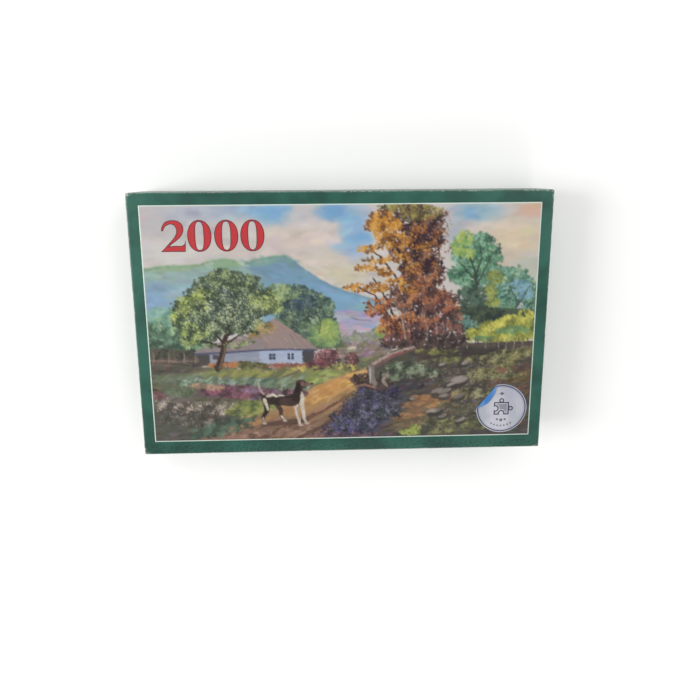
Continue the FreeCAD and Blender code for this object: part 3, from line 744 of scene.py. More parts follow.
def paint_dog(canvas):
    """A spotted hound that stands on the path and looks to the right."""
    canvas.dab(140, 233, 30, 3.4, -0.1, rgb("4a3a34"), 0.65)
    dark, brown, white, shade = ("332a28", "4a3a36", "bdb2a4", "8d8074")
    canvas.line([(121, 203), (116, 198), (113, 191), (113, 187)], 1.9, 1.0, "a89c90", 0.85, 0.1)
    for leg, tone, width in (
            ([(121, 211), (121, 219), (117, 226), (117, 233)], dark, 7.0),
            ([(132, 212), (136, 219), (136, 225), (139, 230)], brown, 6.0)):
        canvas.line(leg, width, 2.4, tone, 0.95, 0.1)
    canvas.line([(117, 228), (117.4, 233)], 2.4, 2.0, shade, 0.9, 0.1)
    canvas.line([(136.6, 226), (139.4, 230)], 2.2, 1.8, white, 0.9, 0.1)
    for leg in (
            [(152, 211), (153, 221), (155, 230), (156, 236)],
            [(158, 209), (160, 221), (160.6, 229), (163, 234)]):
        canvas.line(leg, 5.4, 2.4, white, 0.95, 0.1)
    canvas.line([(153.8, 216), (155.4, 231)], 1.2, 0.9, shade, 0.8, 0.1)
    canvas.line([(121, 206), (132, 207), (146, 208), (153, 206)], 11.5, 13.5, dark, 0.97, 0.15)
    canvas.line([(138, 209), (150, 210)], 8.0, 9.0, brown, 0.8, 0.3)
    canvas.line([(118.6, 207), (121, 213), (122, 218)], 4.2, 2.2, white, 0.85, 0.2)
    canvas.line([(122, 203), (128, 201), (131, 203)], 3.4, 2.2, white, 0.85, 0.3)
    canvas.line([(134, 202), (139, 202.6)], 2.4, 1.6, white, 0.8, 0.3)
    canvas.line([(158, 200), (159.4, 206), (158, 212)], 4.0, 4.6, white, 0.9, 0.1)
    canvas.line([(152, 205), (154, 198), (157, 191)], 9.0, 7.5, dark, 0.97, 0.1)
    canvas.dab(158.4, 189.6, 6.8, 5.2, 0.25, rgb(brown), 0.97, 4)
    canvas.line([(160, 189.5), (165, 190), (168.6, 190.4)], 5.4, 3.2, "6e5850", 0.95, 0.1)
    canvas.dab(169.8, 189.4, 1.4, 1.2, 0, rgb("241f1f"), 1, 4)
    canvas.dab(154.8, 193, 2.8, 6.0, 0.2, rgb("2b2223"), 0.95, 4)
    canvas.dab(162.0, 187.6, 0.8, 0.7, 0, rgb("1c1818"), 1, 4)
    for x, y, end in ((118, 233.8, 2.8), (140, 231, 2.6), (157, 236.6, 3.0), (163.8, 234.6, 2.9)):
        canvas.dab(x, y, end, 1.4, 0.1, rgb("a89c90"), 0.95, 4)


def paint_landscape():
    """A country view: hills, a thatched cottage under a broad tree, a sand path and autumn trees."""
    canvas = Canvas()
    for stage in (paint_sky, paint_hills, paint_far_valley, paint_left_trees, paint_second_tree,
                  paint_meadow, paint_path, paint_flower_beds, paint_right_trees, paint_slope):
        stage(canvas)
    canvas.soften(0.7)
    for stage in (paint_cottage, paint_great_tree, paint_fence, paint_autumn_tree, paint_rocks,
                  paint_violet_flowers, paint_log, paint_shrubs, paint_dog):
        stage(canvas)
    return canvas


# ---- shaping helpers -----------------------------------------------------------------------------
MIDDLE_INSET = 24.0         # the flat middle of the lid's or tray's sheet starts here
PICTURE_BED = 0.3           # how far that middle lies below the border round it


def crown_height(x, y):
    """How far the lid's printed top stands above its edges, in metres: a slight bulge and waves."""
    u = 2 * x / LID_LENGTH
    v = 2 * y / LID_WIDTH
    bulge = (1 - u ** 2) * (1 - v ** 2)
    waves = 0.16 * np.sin(7 * u + 1.2) * np.cos(4 * v - 0.4) + 0.08 * np.sin(15 * u - 9 * v)
    return CROWN * MM * bulge * (1 + waves)


def piece_from(name, vertices, faces, material, body, slot, *nodes):
    """A new piece at the origin, from points in metres."""
    mesh = bpy.data.meshes.new(name)
    mesh.from_pydata([tuple(v) for v in vertices], [], [tuple(f) for f in faces])
    return finished(name, mesh, material, body, slot, *nodes)


def finished(name, mesh, material, body, slot, *nodes):
    """A piece with its one material, which rides on a body and stands for CAD nodes."""
    mesh.name = name
    mesh.materials.clear()
    mesh.materials.append(material)
    piece = bpy.data.objects.new(name, mesh)
    bpy.context.scene.collection.objects.link(piece)
    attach(piece, body)
    if nodes:
        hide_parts(*nodes)
    return piece


def band(first, second):
    """Faces between two closed rows of points, given as numbers of vertices."""
    count = len(first)
    return [[first[i], first[(i + 1) % count], second[(i + 1) % count], second[i]] for i in range(count)]


def grid_faces(columns, rows):
    """Faces between the points of a grid that is stored row by row."""
    corner = (np.arange(rows - 1)[:, None] * columns + np.arange(columns - 1)).ravel()
    return np.stack([corner, corner + 1, corner + columns + 1, corner + columns], 1)


def grid_rim(columns, rows):
    """The points round the edge of such a grid, in order."""
    last = rows * columns - 1
    return [*range(columns), *range(2 * columns - 1, last + 1, columns),
            *range(last - 1, last - columns, -1), *range(last + 1 - 2 * columns, 0, -columns)]


def outline_points(length, width, radius, inset):
    """Points round a rounded rectangle drawn in by inset. Every inset gives the same count."""
    long_steps, short_steps, arc_steps = 48, 32, 6
    corner_radius = max(radius - inset, 0)
    half_x = length / 2 - max(radius, inset)
    half_y = width / 2 - max(radius, inset)
    points = []
    quarters = [(1, 1), (-1, 1), (-1, -1), (1, -1)]
    for i, (sx, sy) in enumerate(quarters):
        for step in range(arc_steps + 1):
            angle = math.pi / 2 * (i + step / arc_steps)
            points.append((sx * half_x + corner_radius * math.cos(angle),
                           sy * half_y + corner_radius * math.sin(angle)))
        steps = long_steps if i % 2 == 0 else short_steps
        next_x, next_y = quarters[(i + 1) % 4]
        angle = math.pi / 2 * (i + 1)
        start = points[-1]
        end = (next_x * half_x + corner_radius * math.cos(angle),
               next_y * half_y + corner_radius * math.sin(angle))
        for step in range(1, steps):
            share = step / steps
            points.append((start[0] + share * (end[0] - start[0]), start[1] + share * (end[1] - start[1])))
    return points


def smooth(t):
    t = min(max(t, 0.0), 1.0)
    return t * t * (3 - 2 * t)


def shell_profile(height):
    """Stations (inset, depth below the top) along the paper of a lid, from the middle of its outer
    face, over the rim and up inside, then back along the glued side of the sheet."""
    outer_radius, inner_radius = FOLD_RADIUS, FOLD_RADIUS - WRAP
    rim = height
    inner_face = BOARD + 2 * WRAP
    outside = [(MIDDLE_INSET, PICTURE_BED), (16, PICTURE_BED), (15, 0), (10, 0), (6, 0), (3, 0)]
    for step in range(7):
        angle = math.pi / 2 * step / 6
        outside.append((outer_radius * (1 - math.sin(angle)), outer_radius * (1 - math.cos(angle))))
    outside += [(0, d) for d in np.linspace(outer_radius + 3, rim - 3, 14)]
    outside += [(0, rim - 0.25), (0.08, rim - 0.07), (0.3, rim), (BOARD + 0.1, rim),
                (BOARD + WRAP * 1.6, rim - 0.07), (inner_face, rim - 0.3)]
    lining = [(inner_face, rim - d) for d in (4, 9, 14, TURN_IN - 0.1)]
    lining += [(BOARD + WRAP + 0.05, rim - TURN_IN), (BOARD + WRAP, rim - TURN_IN + 0.1),
               (BOARD + WRAP, rim - WRAP)]
    inside = [(WRAP, rim - WRAP), (WRAP, outer_radius)]
    for step in range(5):
        angle = math.pi / 2 * (1 - step / 4)
        inside.append((outer_radius - inner_radius * math.sin(angle),
                       outer_radius - inner_radius * math.cos(angle)))
    return outside + lining + inside + [(MIDDLE_INSET, WRAP + PICTURE_BED)]


def paper_relief(x, y, depth, length, width):
    """How far the paper stands out from a wall, in millimetres: the lapped ears and a little slack."""
    across = abs(y)
    on_end_wall = abs(x) > length / 2 - 0.5 and across < width / 2 - FOLD_RADIUS
    from_corner = width / 2 - across if on_end_wall else 0.0
    relief = 0.06 + 0.05 * math.sin(x * 0.043 + y * 0.061) * math.sin(depth * 0.11 + 0.4)
    if on_end_wall:
        lapped = smooth((from_corner - FLAP_INSET) / 0.25)
        ear = 1 - smooth((from_corner - EAR - 0.12 * depth) / 2.0)
        relief += 0.12 * lapped + 0.1 * ear * lapped
    return relief


def make_shell(name, body, slot, length, width, low, high, opens_down, material):
    """The printed paper of the lid or tray as one closed sheet, folded round the board."""
    height = (high - low) / MM
    length, width = length / MM, width / MM
    vertices = []
    for inset, depth in shell_profile(height):
        for x, y in outline_points(length, width, FOLD_RADIUS, inset):
            z = high / MM - depth if opens_down else low / MM + depth
            if inset == 0 and depth < height - 2:
                relief = paper_relief(x, y, depth, length, width)
                out = Vector((x if abs(x) > length / 2 - FOLD_RADIUS else 0,
                              y if abs(y) > width / 2 - FOLD_RADIUS else 0, 0)).normalized()
                x, y = x + out.x * relief, y + out.y * relief
            if opens_down and depth < 2 * FOLD_RADIUS:
                z += crown_height(x * MM, y * MM) / MM
            vertices.append((x * MM, y * MM, z * MM))
    around = len(outline_points(length, width, FOLD_RADIUS, 0))
    rings = [range(first, first + around) for first in range(0, len(vertices), around)]
    faces = [face for ring, following in zip(rings, rings[1:]) for face in band(ring, following)]
    faces += [list(rings[0]), list(rings[-1])]
    mesh = bpy.data.meshes.new(name)
    mesh.from_pydata(vertices, [], faces)
    work = bmesh.new()
    work.from_mesh(mesh)
    bmesh.ops.remove_doubles(work, verts=work.verts, dist=0.5e-6)
    bmesh.ops.recalc_face_normals(work, faces=work.faces)
    work.to_mesh(mesh)
    work.free()
    mesh.shade_smooth()
    mesh.set_sharp_from_angle(angle=math.radians(40))
    finished(name, mesh, material, body, slot, name)


# ---- finishes ------------------------------------------------------------------------------------
def printed_paper(name, length, width, top, bottom, base_code, dark_code):
    """Laminated green paper: a fine print grain, and pale bare fibres where the folds are rubbed."""
    f = Finish(name)
    grain = f.noise(0.0006, 3, 0.7)
    cloud = f.noise(0.05, 3, 0.55)
    smudge = f.noise(0.012, 4, 0.6, f.stretched(1, 2.4, 1, 0.5))
    tone = f.mix(cloud.ramp(0.3, 0.7), colour(base_code), colour(dark_code))
    tone = f.shade(tone, 0.9 + 0.12 * grain + 0.1 * smudge)
    to_side = length / 2 - abs(f.x)
    to_front = width / 2 - abs(f.y)
    to_top = abs(f.z - top)
    to_rim = abs(f.z - bottom)
    edge_ways = [to_side.most(to_front), to_side.most(to_top), to_front.most(to_top),
                 to_side.most(to_rim), to_front.most(to_rim)]
    nearest = edge_ways[0]
    for way in edge_ways[1:]:
        nearest = nearest.least(way)
    corner = to_side.most(to_front).most(to_top.least(to_rim))
    rub_noise = f.noise(0.004, 5, 0.72)
    reach = 0.0006 + 0.0022 * f.noise(0.03, 2) ** 2 + 0.0024 * corner.ramp(0.012, 0.0)
    rubbed = (reach - nearest).ramp(0.0, 0.0010) * rub_noise.ramp(0.44, 0.62)
    tone = f.mix(rubbed * 0.75, tone, colour("b9bcae"))
    # Darker in mottled patches from about 18 mm in to the front edge, most within 6 mm of the height given
    # as top
    front_edge_darkening = f.noise(0.0026, 3, 0.65).ramp(0.44, 0.62) * (f.y + width / 2).ramp(0.018, 0.006)
    front_edge_darkening = front_edge_darkening * (0.25 + 0.75 * to_top.ramp(0.006, 0.0))
    tone = f.shade(tone, 1 - 0.45 * front_edge_darkening)
    scratch = f.noise(0.0035, 2, 0.4, f.stretched(1, 0.05, 1, 0.35)).ramp(0.70, 0.78)
    scratch = scratch * f.noise(0.04, 1).ramp(0.56, 0.66)
    tone = f.mix(scratch * 0.3, tone, colour("9fb3a6"))
    roughness = 0.3 + 0.14 * smudge + 0.3 * rubbed + 0.06 * grain
    height = 0.35 * grain + 0.65 * f.noise(0.02, 3)
    return f.surface(tone, roughness, height - 0.8 * rubbed, 0.00006,
                     **{"Specular IOR Level": 0.45, "Coat Weight": 0.2, "Coat Roughness": 0.22})


def picture_finish(low, high):
    """The printed picture under a gloss varnish: its painted colours, print grain and a keyline."""
    f = Finish("print_on_laminate")
    painted = f.attribute("Print", "Color")
    fibre = f.noise(0.0005, 3, 0.75)
    canvas = f.noise(0.0011, 2, 0.6, f.stretched(1, 2.2, 1, -0.2))
    tone = f.shade(painted, 0.71 + 0.14 * fibre + 0.14 * canvas)
    past_x = abs(f.x - (low.x + high.x) / 2) - ((high.x - low.x) / 2 - KEYLINE * MM)
    past_y = abs(f.y - (low.y + high.y) / 2) - ((high.y - low.y) / 2 - KEYLINE * MM)
    line = past_x.most(past_y).ramp(-0.0001, 0.0001)
    tone = f.mix(line * (0.72 + 0.2 * f.noise(0.006, 2)), tone, colour("c4d0c6"))
    smudge = f.noise(0.03, 4, 0.6)
    scuff = f.noise(0.003, 2, 0.4, f.stretched(0.06, 1, 1, 0.5)).ramp(0.72, 0.8)
    scuff = scuff * f.noise(0.05, 1).ramp(0.55, 0.66)
    tone = f.mix(scuff * 0.22, tone, colour("d8d6d0"))
    height = 0.45 * canvas + 0.2 * fibre + 0.35 * f.noise(0.016, 2)
    return f.surface(tone, 0.28 + 0.16 * smudge + 0.1 * scuff, height, 0.00007,
                     **{"Specular IOR Level": 0.24, "Coat Weight": 0.08, "Coat Roughness": 0.2})


def ink_finish(name, code, streak_code):
    f = Finish(name)
    streak = f.noise(0.004, 3, 0.6, f.stretched(3, 0.6, 1))
    grain = f.noise(0.0005, 2, 0.7)
    tone = f.mix(streak.ramp(0.35, 0.7), colour(code), colour(streak_code))
    return f.surface(f.shade(tone, 0.88 + 0.2 * grain), 0.3 + 0.1 * grain, grain, 0.00003,
                     **{"Coat Weight": 0.4, "Coat Roughness": 0.2})


def greyboard_finish(name, code):
    """Recycled board: matted fibres with pale and dark flecks, and layers that show on cut edges."""
    f = Finish(name)
    fibre = f.noise(0.0014, 5, 0.7, f.stretched(1, 3.5, 2, 0.4), 1.2)
    crossing = f.noise(0.0012, 4, 0.7, f.stretched(3.2, 1, 2, -0.3), 1.4)
    cloud = f.noise(0.03, 3, 0.6)
    tone = f.shade(colour(code), 0.72 + 0.25 * fibre + 0.2 * crossing + 0.14 * cloud)
    dark = f.noise(0.0016, 1, 0.5).ramp(0.70, 0.76)
    pale = f.noise(0.0023, 1, 0.5, f.stretched(1, 2, 1, 0.9)).ramp(0.70, 0.78)
    tone = f.mix(dark * 0.45, tone, colour("4b463f"))
    tone = f.mix(pale * 0.5, tone, colour("c9c3b6"))
    layers = f.noise(0.0009, 2, 0.6, f.stretched(0.05, 0.05, 1))
    return f.surface(tone, 0.86 + 0.1 * fibre, 0.5 * fibre + 0.4 * crossing + 0.1 * layers, 0.00012)


def gummed_paper_finish():
    f = Finish("gummed_kraft_paper")
    fibre = f.noise(0.001, 4, 0.7, f.stretched(1, 1, 5))
    tone = f.mix(fibre.ramp(0.3, 0.7), colour("b59468"), colour("96744c"))
    return f.surface(f.shade(tone, 0.85 + 0.3 * f.noise(0.012, 3)), 0.7 + 0.15 * fibre, fibre, 0.00006)


# ---- the cover's picture -------------------------------------------------------------------------
def print_area():
    low = Vector((lid_low.x + PRINT_SIDE_MARGIN * MM, lid_low.y + PRINT_FRONT_MARGIN * MM, LID_TOP))
    high = Vector((lid_high.x - PRINT_SIDE_MARGIN * MM, lid_high.y - PRINT_TOP_MARGIN * MM, LID_TOP))
    return low, high


def make_picture():
    """The picture as a thin printed sheet on the lid, with a colour at every point of its grid."""
    low, high = print_area()
    columns = round((high.x - low.x) / (PRINT_GRID * MM)) + 1
    rows = round((high.y - low.y) / (PRINT_GRID * MM)) + 1
    x = np.tile(np.linspace(low.x, high.x, columns), rows)
    y = np.repeat(np.linspace(high.y, low.y, rows), columns)
    top = np.stack([x, y, LID_TOP + crown_height(x, y) + INK * MM], 1)
    rim = grid_rim(columns, rows)
    vertices = np.concatenate([top, top[rim] - np.array([0, 0, 2 * INK * MM])])
    first = len(top)
    under = range(first, len(vertices))
    printed = grid_faces(columns, rows)[:, [0, 3, 2, 1]].tolist()
    faces = printed + band(rim, under) + [list(under)]
    piece = piece_from("cover_picture", vertices, faces, picture_finish(low, high), "lid", "cover_paper",
                       "lid_wrap")
    colours = np.ones((len(vertices), 4))
    grid = paint_landscape().grid_colours(columns, rows).reshape(-1, 3)
    colours[:first, :3] = grid
    colours[first:, :3] = grid[rim]
    attribute = piece.data.attributes.new("Print", "FLOAT_COLOR", "POINT")
    attribute.data.foreach_set("color", colours.astype(np.float32).ravel())
    give_picture_map(piece.data, low, high, 4 * len(printed))
    piece.data.shade_smooth()


def give_picture_map(mesh, low, high, printed_corners):
    """A UV map for baking: the printed side, whose corners come first, fills nearly the whole
    square, and the rest lies in a strip below it."""
    strip = 0.02
    uv_map = mesh.uv_layers.new(name="OFBake")
    corners = np.zeros(len(mesh.loops), int)
    mesh.loops.foreach_get("vertex_index", corners)
    places = np.zeros(len(mesh.vertices) * 3)
    mesh.vertices.foreach_get("co", places)
    places = places.reshape(-1, 3)[corners]
    across = (places[:, 0] - low.x) / (high.x - low.x)
    up = (places[:, 1] - low.y) / (high.y - low.y)
    on_print = np.arange(len(corners)) < printed_corners
    v = np.where(on_print, 2 * strip + (1 - 3 * strip) * up, strip * up)
    uv = np.stack([strip / 2 + (1 - strip) * across, v], 1)
    uv_map.data.foreach_set("uv", uv.astype(np.float32).ravel())


# ---- the piece count, printed in the sky ---------------------------------------------------------
FIGURE_HEIGHT = 31.2
ZERO_HALF_WIDTH = 11.8
ZERO_HALF_HEIGHT = FIGURE_HEIGHT / 2 + 0.2
ZERO_POWER = 2.1
COUNTER_HALF_WIDTH = 4.4    # the counter is the hole of a zero
COUNTER_HALF_HEIGHT = 14.4
COUNTER_POWER = 2.9
ZERO_CENTRES = (-143.8, -116.9, -90.7)
TWO_LEFT = -182.6
FIGURE_BASE = 81.0
# The outline of the figure 2, anticlockwise from its left terminal: x, y, and whether it turns sharply.
TWO_OUTLINE = [(1.2, 21.0, True), (2.1, 25.4, False), (6.2, 30.0, False), (12.9, 31.3, False),
               (20.0, 29.2, False), (22.9, 22.9, False), (20.9, 16.6, False), (16.0, 11.6, False),
               (10.4, 7.4, False), (7.6, 4.9, True), (14.0, 5.6, False), (21.0, 5.7, False),
               (23.6, 7.3, False), (24.6, 9.8, True), (23.9, 0.0, True), (0.2, 0.0, True),
               (3.5, 3.2, False), (9.4, 9.4, False), (14.0, 14.6, False), (16.2, 20.0, False),
               (15.2, 25.2, False), (11.9, 27.6, False), (8.0, 27.2, False), (4.4, 24.6, False),
               (2.6, 21.0, True)]


def rounded_ring(centre_x, centre_y, half_width, half_height, power):
    """Points round an ellipse, squarer with a power above 2."""
    points = []
    for i in range(24):
        angle = 2 * math.pi * i / 24
        cos, sin = math.cos(angle), math.sin(angle)
        points.append((centre_x + math.copysign(abs(cos) ** (2 / power), cos) * half_width,
                       centre_y + math.copysign(abs(sin) ** (2 / power), sin) * half_height, False))
    return points


def make_figures(name, spread, lift, material):
    """The printed number as flat ink, lift millimetres up and grown by spread all round."""
    middle = FIGURE_BASE + FIGURE_HEIGHT / 2
    outlines = [[(TWO_LEFT + x, FIGURE_BASE + y, sharp) for x, y, sharp in TWO_OUTLINE]]
    for centre in ZERO_CENTRES:
        outlines.append(rounded_ring(centre, middle, ZERO_HALF_WIDTH, ZERO_HALF_HEIGHT, ZERO_POWER))
        counter = rounded_ring(centre, middle, COUNTER_HALF_WIDTH, COUNTER_HALF_HEIGHT, COUNTER_POWER)
        outlines.append(counter[::-1])
    curve = bpy.data.curves.new(name, "CURVE")
    curve.dimensions = "2D"
    curve.fill_mode = "BOTH"
    curve.resolution_u = 6
    curve.extrude = INK / 2 * MM
    curve.offset = spread * MM
    for outline in outlines:
        spline = curve.splines.new("BEZIER")
        spline.bezier_points.add(len(outline) - 1)
        spline.use_cyclic_u = True
        for point, (x, y, sharp) in zip(spline.bezier_points, outline):
            point.co = (x * MM, y * MM, 0)
            point.handle_left_type = point.handle_right_type = "VECTOR" if sharp else "AUTO"
    drawn = bpy.data.objects.new(name, curve)
    bpy.context.scene.collection.objects.link(drawn)
    bpy.context.view_layer.update()
    mesh = bpy.data.meshes.new_from_object(drawn.evaluated_get(bpy.context.evaluated_depsgraph_get()))
    bpy.data.objects.remove(drawn)
    for vertex in mesh.vertices:
        x, y, z = vertex.co
        vertex.co.z = LID_TOP + crown_height(x, y) + (INK + lift) * MM + z
    finished(name, mesh, material, "lid", "cover_paper", "lid_wrap")


# ---- the round label -----------------------------------------------------------------------------
LABEL_RADIUS = 27.5
LABEL_FROM_RIGHT = 43.5
LABEL_FROM_FRONT = 45.8
LABEL_FOLD_ANGLE = 141.0    # direction of the turned-back edge, from +X
LABEL_FOLD_DEPTH = 6.2
LABEL_PAPER = 0.12
FOLD_ROLL = 0.32            # radius of the roll at the label's fold
FOLD_DISTANCE = LABEL_RADIUS - LABEL_FOLD_DEPTH


def label_place(along, across, lift):
    """A point of the label in the row frame. along runs from its centre towards the fold."""
    turn = math.radians(LABEL_FOLD_ANGLE)
    x = lid_high.x + (along * math.cos(turn) - across * math.sin(turn) - LABEL_FROM_RIGHT) * MM
    y = lid_low.y + (along * math.sin(turn) + across * math.cos(turn) + LABEL_FROM_FRONT) * MM
    return x, y, LID_TOP + crown_height(x, y) + (2 * INK + lift) * MM


def make_label_disc(paper):
    """The label's disc, cut off straight at the fold, with its edge a little loose in places."""
    rings, around = 14, 120
    vertices = [label_place(0, 0, LABEL_PAPER)]
    for ring in range(1, rings + 1):
        for i in range(around):
            angle = 2 * math.pi * i / around
            cos, sin = math.cos(angle), math.sin(angle)
            reach = min(LABEL_RADIUS, FOLD_DISTANCE / cos) if cos > 0 else LABEL_RADIUS
            radius = reach * ring / rings
            loose = 0.22 * smooth((radius - 20) / 8) * (1 + math.sin(3 * angle + 0.7)) / 2
            vertices.append(label_place(radius * cos, radius * sin, LABEL_PAPER + loose))
    vertices += [(x, y, z - LABEL_PAPER * MM) for x, y, z in vertices[-around:]]
    circles = [range(first, first + around) for first in range(1, len(vertices), around)]
    faces = [[0, 1 + i, 1 + (i + 1) % around] for i in range(around)]
    faces += [face for circle, wider in zip(circles, circles[1:]) for face in band(wider, circle)]
    faces.append(list(circles[-1])[::-1])
    disc = piece_from("cover_label", vertices, faces, paper, "lid", "label_paper", "cover_label")
    disc.data.shade_smooth()
    disc.data.set_sharp_from_angle(angle=math.radians(50))


def make_label_flap(back):
    """The edge of the label that is turned back over it, blue side up."""
    across_steps, deep_steps = 60, 14
    half_chord = math.sqrt(LABEL_RADIUS ** 2 - FOLD_DISTANCE ** 2) * 0.998
    points = []
    for i in range(across_steps + 1):
        across = half_chord * (2 * i / across_steps - 1)
        depth = math.sqrt(LABEL_RADIUS ** 2 - across ** 2) - FOLD_DISTANCE
        for j in range(deep_steps + 1):
            walked = depth * (j / deep_steps) ** 1.6
            turned = min(walked / FOLD_ROLL, math.pi)
            flat = max(walked - math.pi * FOLD_ROLL, 0)
            rise = FOLD_ROLL * (1 - math.cos(turned)) + 0.05 * flat + 0.03 * math.sin(0.4 * across) * flat
            along = FOLD_DISTANCE + FOLD_ROLL * math.sin(turned) - flat
            points.append(label_place(along, across, LABEL_PAPER + rise))
    faces = grid_faces(deep_steps + 1, across_steps + 1).tolist()
    flap = piece_from("cover_label_turned_edge", points, faces, back, "lid", "label_paper", "cover_label")
    flap.data.shade_smooth()
    thicken = flap.modifiers.new("paper", "SOLIDIFY")
    thicken.thickness = LABEL_PAPER * MM
    thicken.offset = 0


def label_finish():
    """Satin silver paper: a navy ring, a jigsaw piece and small ornaments, in place of any lettering."""
    f = Finish("silver_label_paper")
    centre_x = lid_high.x - LABEL_FROM_RIGHT * MM
    centre_y = lid_low.y + LABEL_FROM_FRONT * MM
    x = (f.x - centre_x) / MM
    y = (f.y - centre_y) / MM

    def distance(from_x, from_y):
        return ((x - from_x) ** 2 + (y - from_y) ** 2) ** 0.5

    def ink(signed_distance):
        return signed_distance.ramp(0.12, -0.12)

    radius = distance(0, 0)
    piece = (abs(x) - 8.2).most(abs(y) - 7.2)
    for knob_x, knob_y in ((10.0, 0.0), (0.0, 9.0)):
        piece = piece.least(distance(knob_x, knob_y) - 2.7)
    for socket_x, socket_y in ((-6.6, 0.0), (0.0, -5.6)):
        piece = piece.most(2.4 - distance(socket_x, socket_y))
    figure = ink(piece.most(-1.3 - piece))
    halftone = ink(piece + 2.2) * 0.55
    gem = ink(abs(x) * 0.7 + abs(y - 17.0) - 1.9)
    sprig = distance(0, -13.4) - 1.7
    for leaf_x in (-4.2, 4.2):
        sprig = sprig.least(distance(leaf_x, -12.6) - 1.2)
    angle = f.add("ShaderNodeMath", {"operation": "ARCTAN2"}, {0: x, 1: y * -1})
    beads = (angle * 34).maths("COSINE").ramp(0.0, 0.4)
    beads = beads * ink(abs(radius - 20.0) - 1.0) * ink(abs(angle) - 0.66)
    ring = ink(abs(radius - 25.9) - 0.7)
    hairline = ink(abs(radius - 24.3) - 0.14)
    band = f.noise(0.016, 2, 0.5, f.stretched(1, 0.4, 1, 0.7))
    drift = f.noise(0.02, 2)
    tone = f.mix(band.ramp(0.35, 0.65), colour("b9bcc8"), colour("cfcfd8"))
    tone = f.mix(drift.ramp(0.45, 0.7) * 0.6, tone, colour("b2bab8"))
    tone = f.mix(((x + y) / 40).ramp(-0.1, 0.9) * 0.5, tone, colour("b4b2c6"))
    tone = f.mix(ring * 0.95, tone, colour("38425e"))
    tone = f.mix(hairline * 0.7, tone, colour("5f6a80"))
    marks = figure.most(halftone).most(gem * 0.8).most(ink(sprig) * 0.8).most(beads * 0.75)
    tone = f.mix(marks, tone, colour("3a3552"))
    grain = f.noise(0.0007, 3, 0.7)
    tone = f.shade(tone, 0.66 + 0.12 * grain)
    return f.surface(tone, 0.3 + 0.2 * band + 0.1 * grain, grain, 0.00003, **{"Coat Weight": 0.2})


def label_back_finish():
    f = Finish("blue_label_back")
    sweep = ((f.x + f.y) * 16).maths("SINE")
    streak = f.noise(0.004, 3, 0.6, f.stretched(1, 0.4, 1, -0.68))
    tone = f.mix(sweep.ramp(-1, 1), colour("5572ac"), colour("376fae"))
    tone = f.mix(streak.ramp(0.4, 0.7) * 0.5, tone, colour("6f92bc"))
    return f.surface(tone, 0.32 + 0.2 * streak, streak, 0.00003)


# ---- the bags of loose pieces --------------------------------------------------------------------
SEAL_WIDTH = 10.0
BAG_SIDE_POWER = 7.0        # squareness of a filled bag across its width
BAG_END_POWER = 4.0         # and towards its sealed ends
BAG_CLEARANCE = 2.0         # between the film and the pieces
PIECE_LENGTH = 19.6
PIECE_WIDTH = 17.0
PIECE_THICKNESS = 2.0
PIECE_KNOB = 4.4
PIECE_SHAPES = 10
HEAP_LAYERS = 9
HEAP_PITCH = 19.0           # spacing of the loose pieces in a layer
HEAP_TILT = 0.15
HEAP_STAGGER = 0.25         # of the pitch, between one layer and the next
PIECE_EDGE_ROOM = 7.5       # kept between the middle of a piece and the bag's edge
PIECE_SHAPE_SEED = 5
SEAL_HALF_THICKNESS = 0.25
TOP_ROOM = 1.2              # for the creases, under the highest place of the film


def ripples(x, y, size, seed):
    """Smooth random waves between about -1 and 1, whose features are about size millimetres."""
    count = 9
    dice = np.random.default_rng(seed)
    total = np.zeros_like(x)
    for _ in range(count):
        angle, phase = dice.uniform(0, 2 * math.pi, 2)
        length = size * dice.uniform(1.2, 2.6)
        total += np.sin((x * math.cos(angle) + y * math.sin(angle)) * 2 * math.pi / length + phase)
    return total / math.sqrt(count)


def pillow_rise(x, y, half_length, half_width):
    """Share of a filled bag's half height at a place measured from its middle."""
    across = np.clip(1 - np.abs(x / half_length) ** BAG_SIDE_POWER, 0, 1) ** (1 / 2.6)
    along = np.clip(1 - np.abs(y / half_width) ** BAG_END_POWER, 0, 1) ** (1 / 2.2)
    return across * along


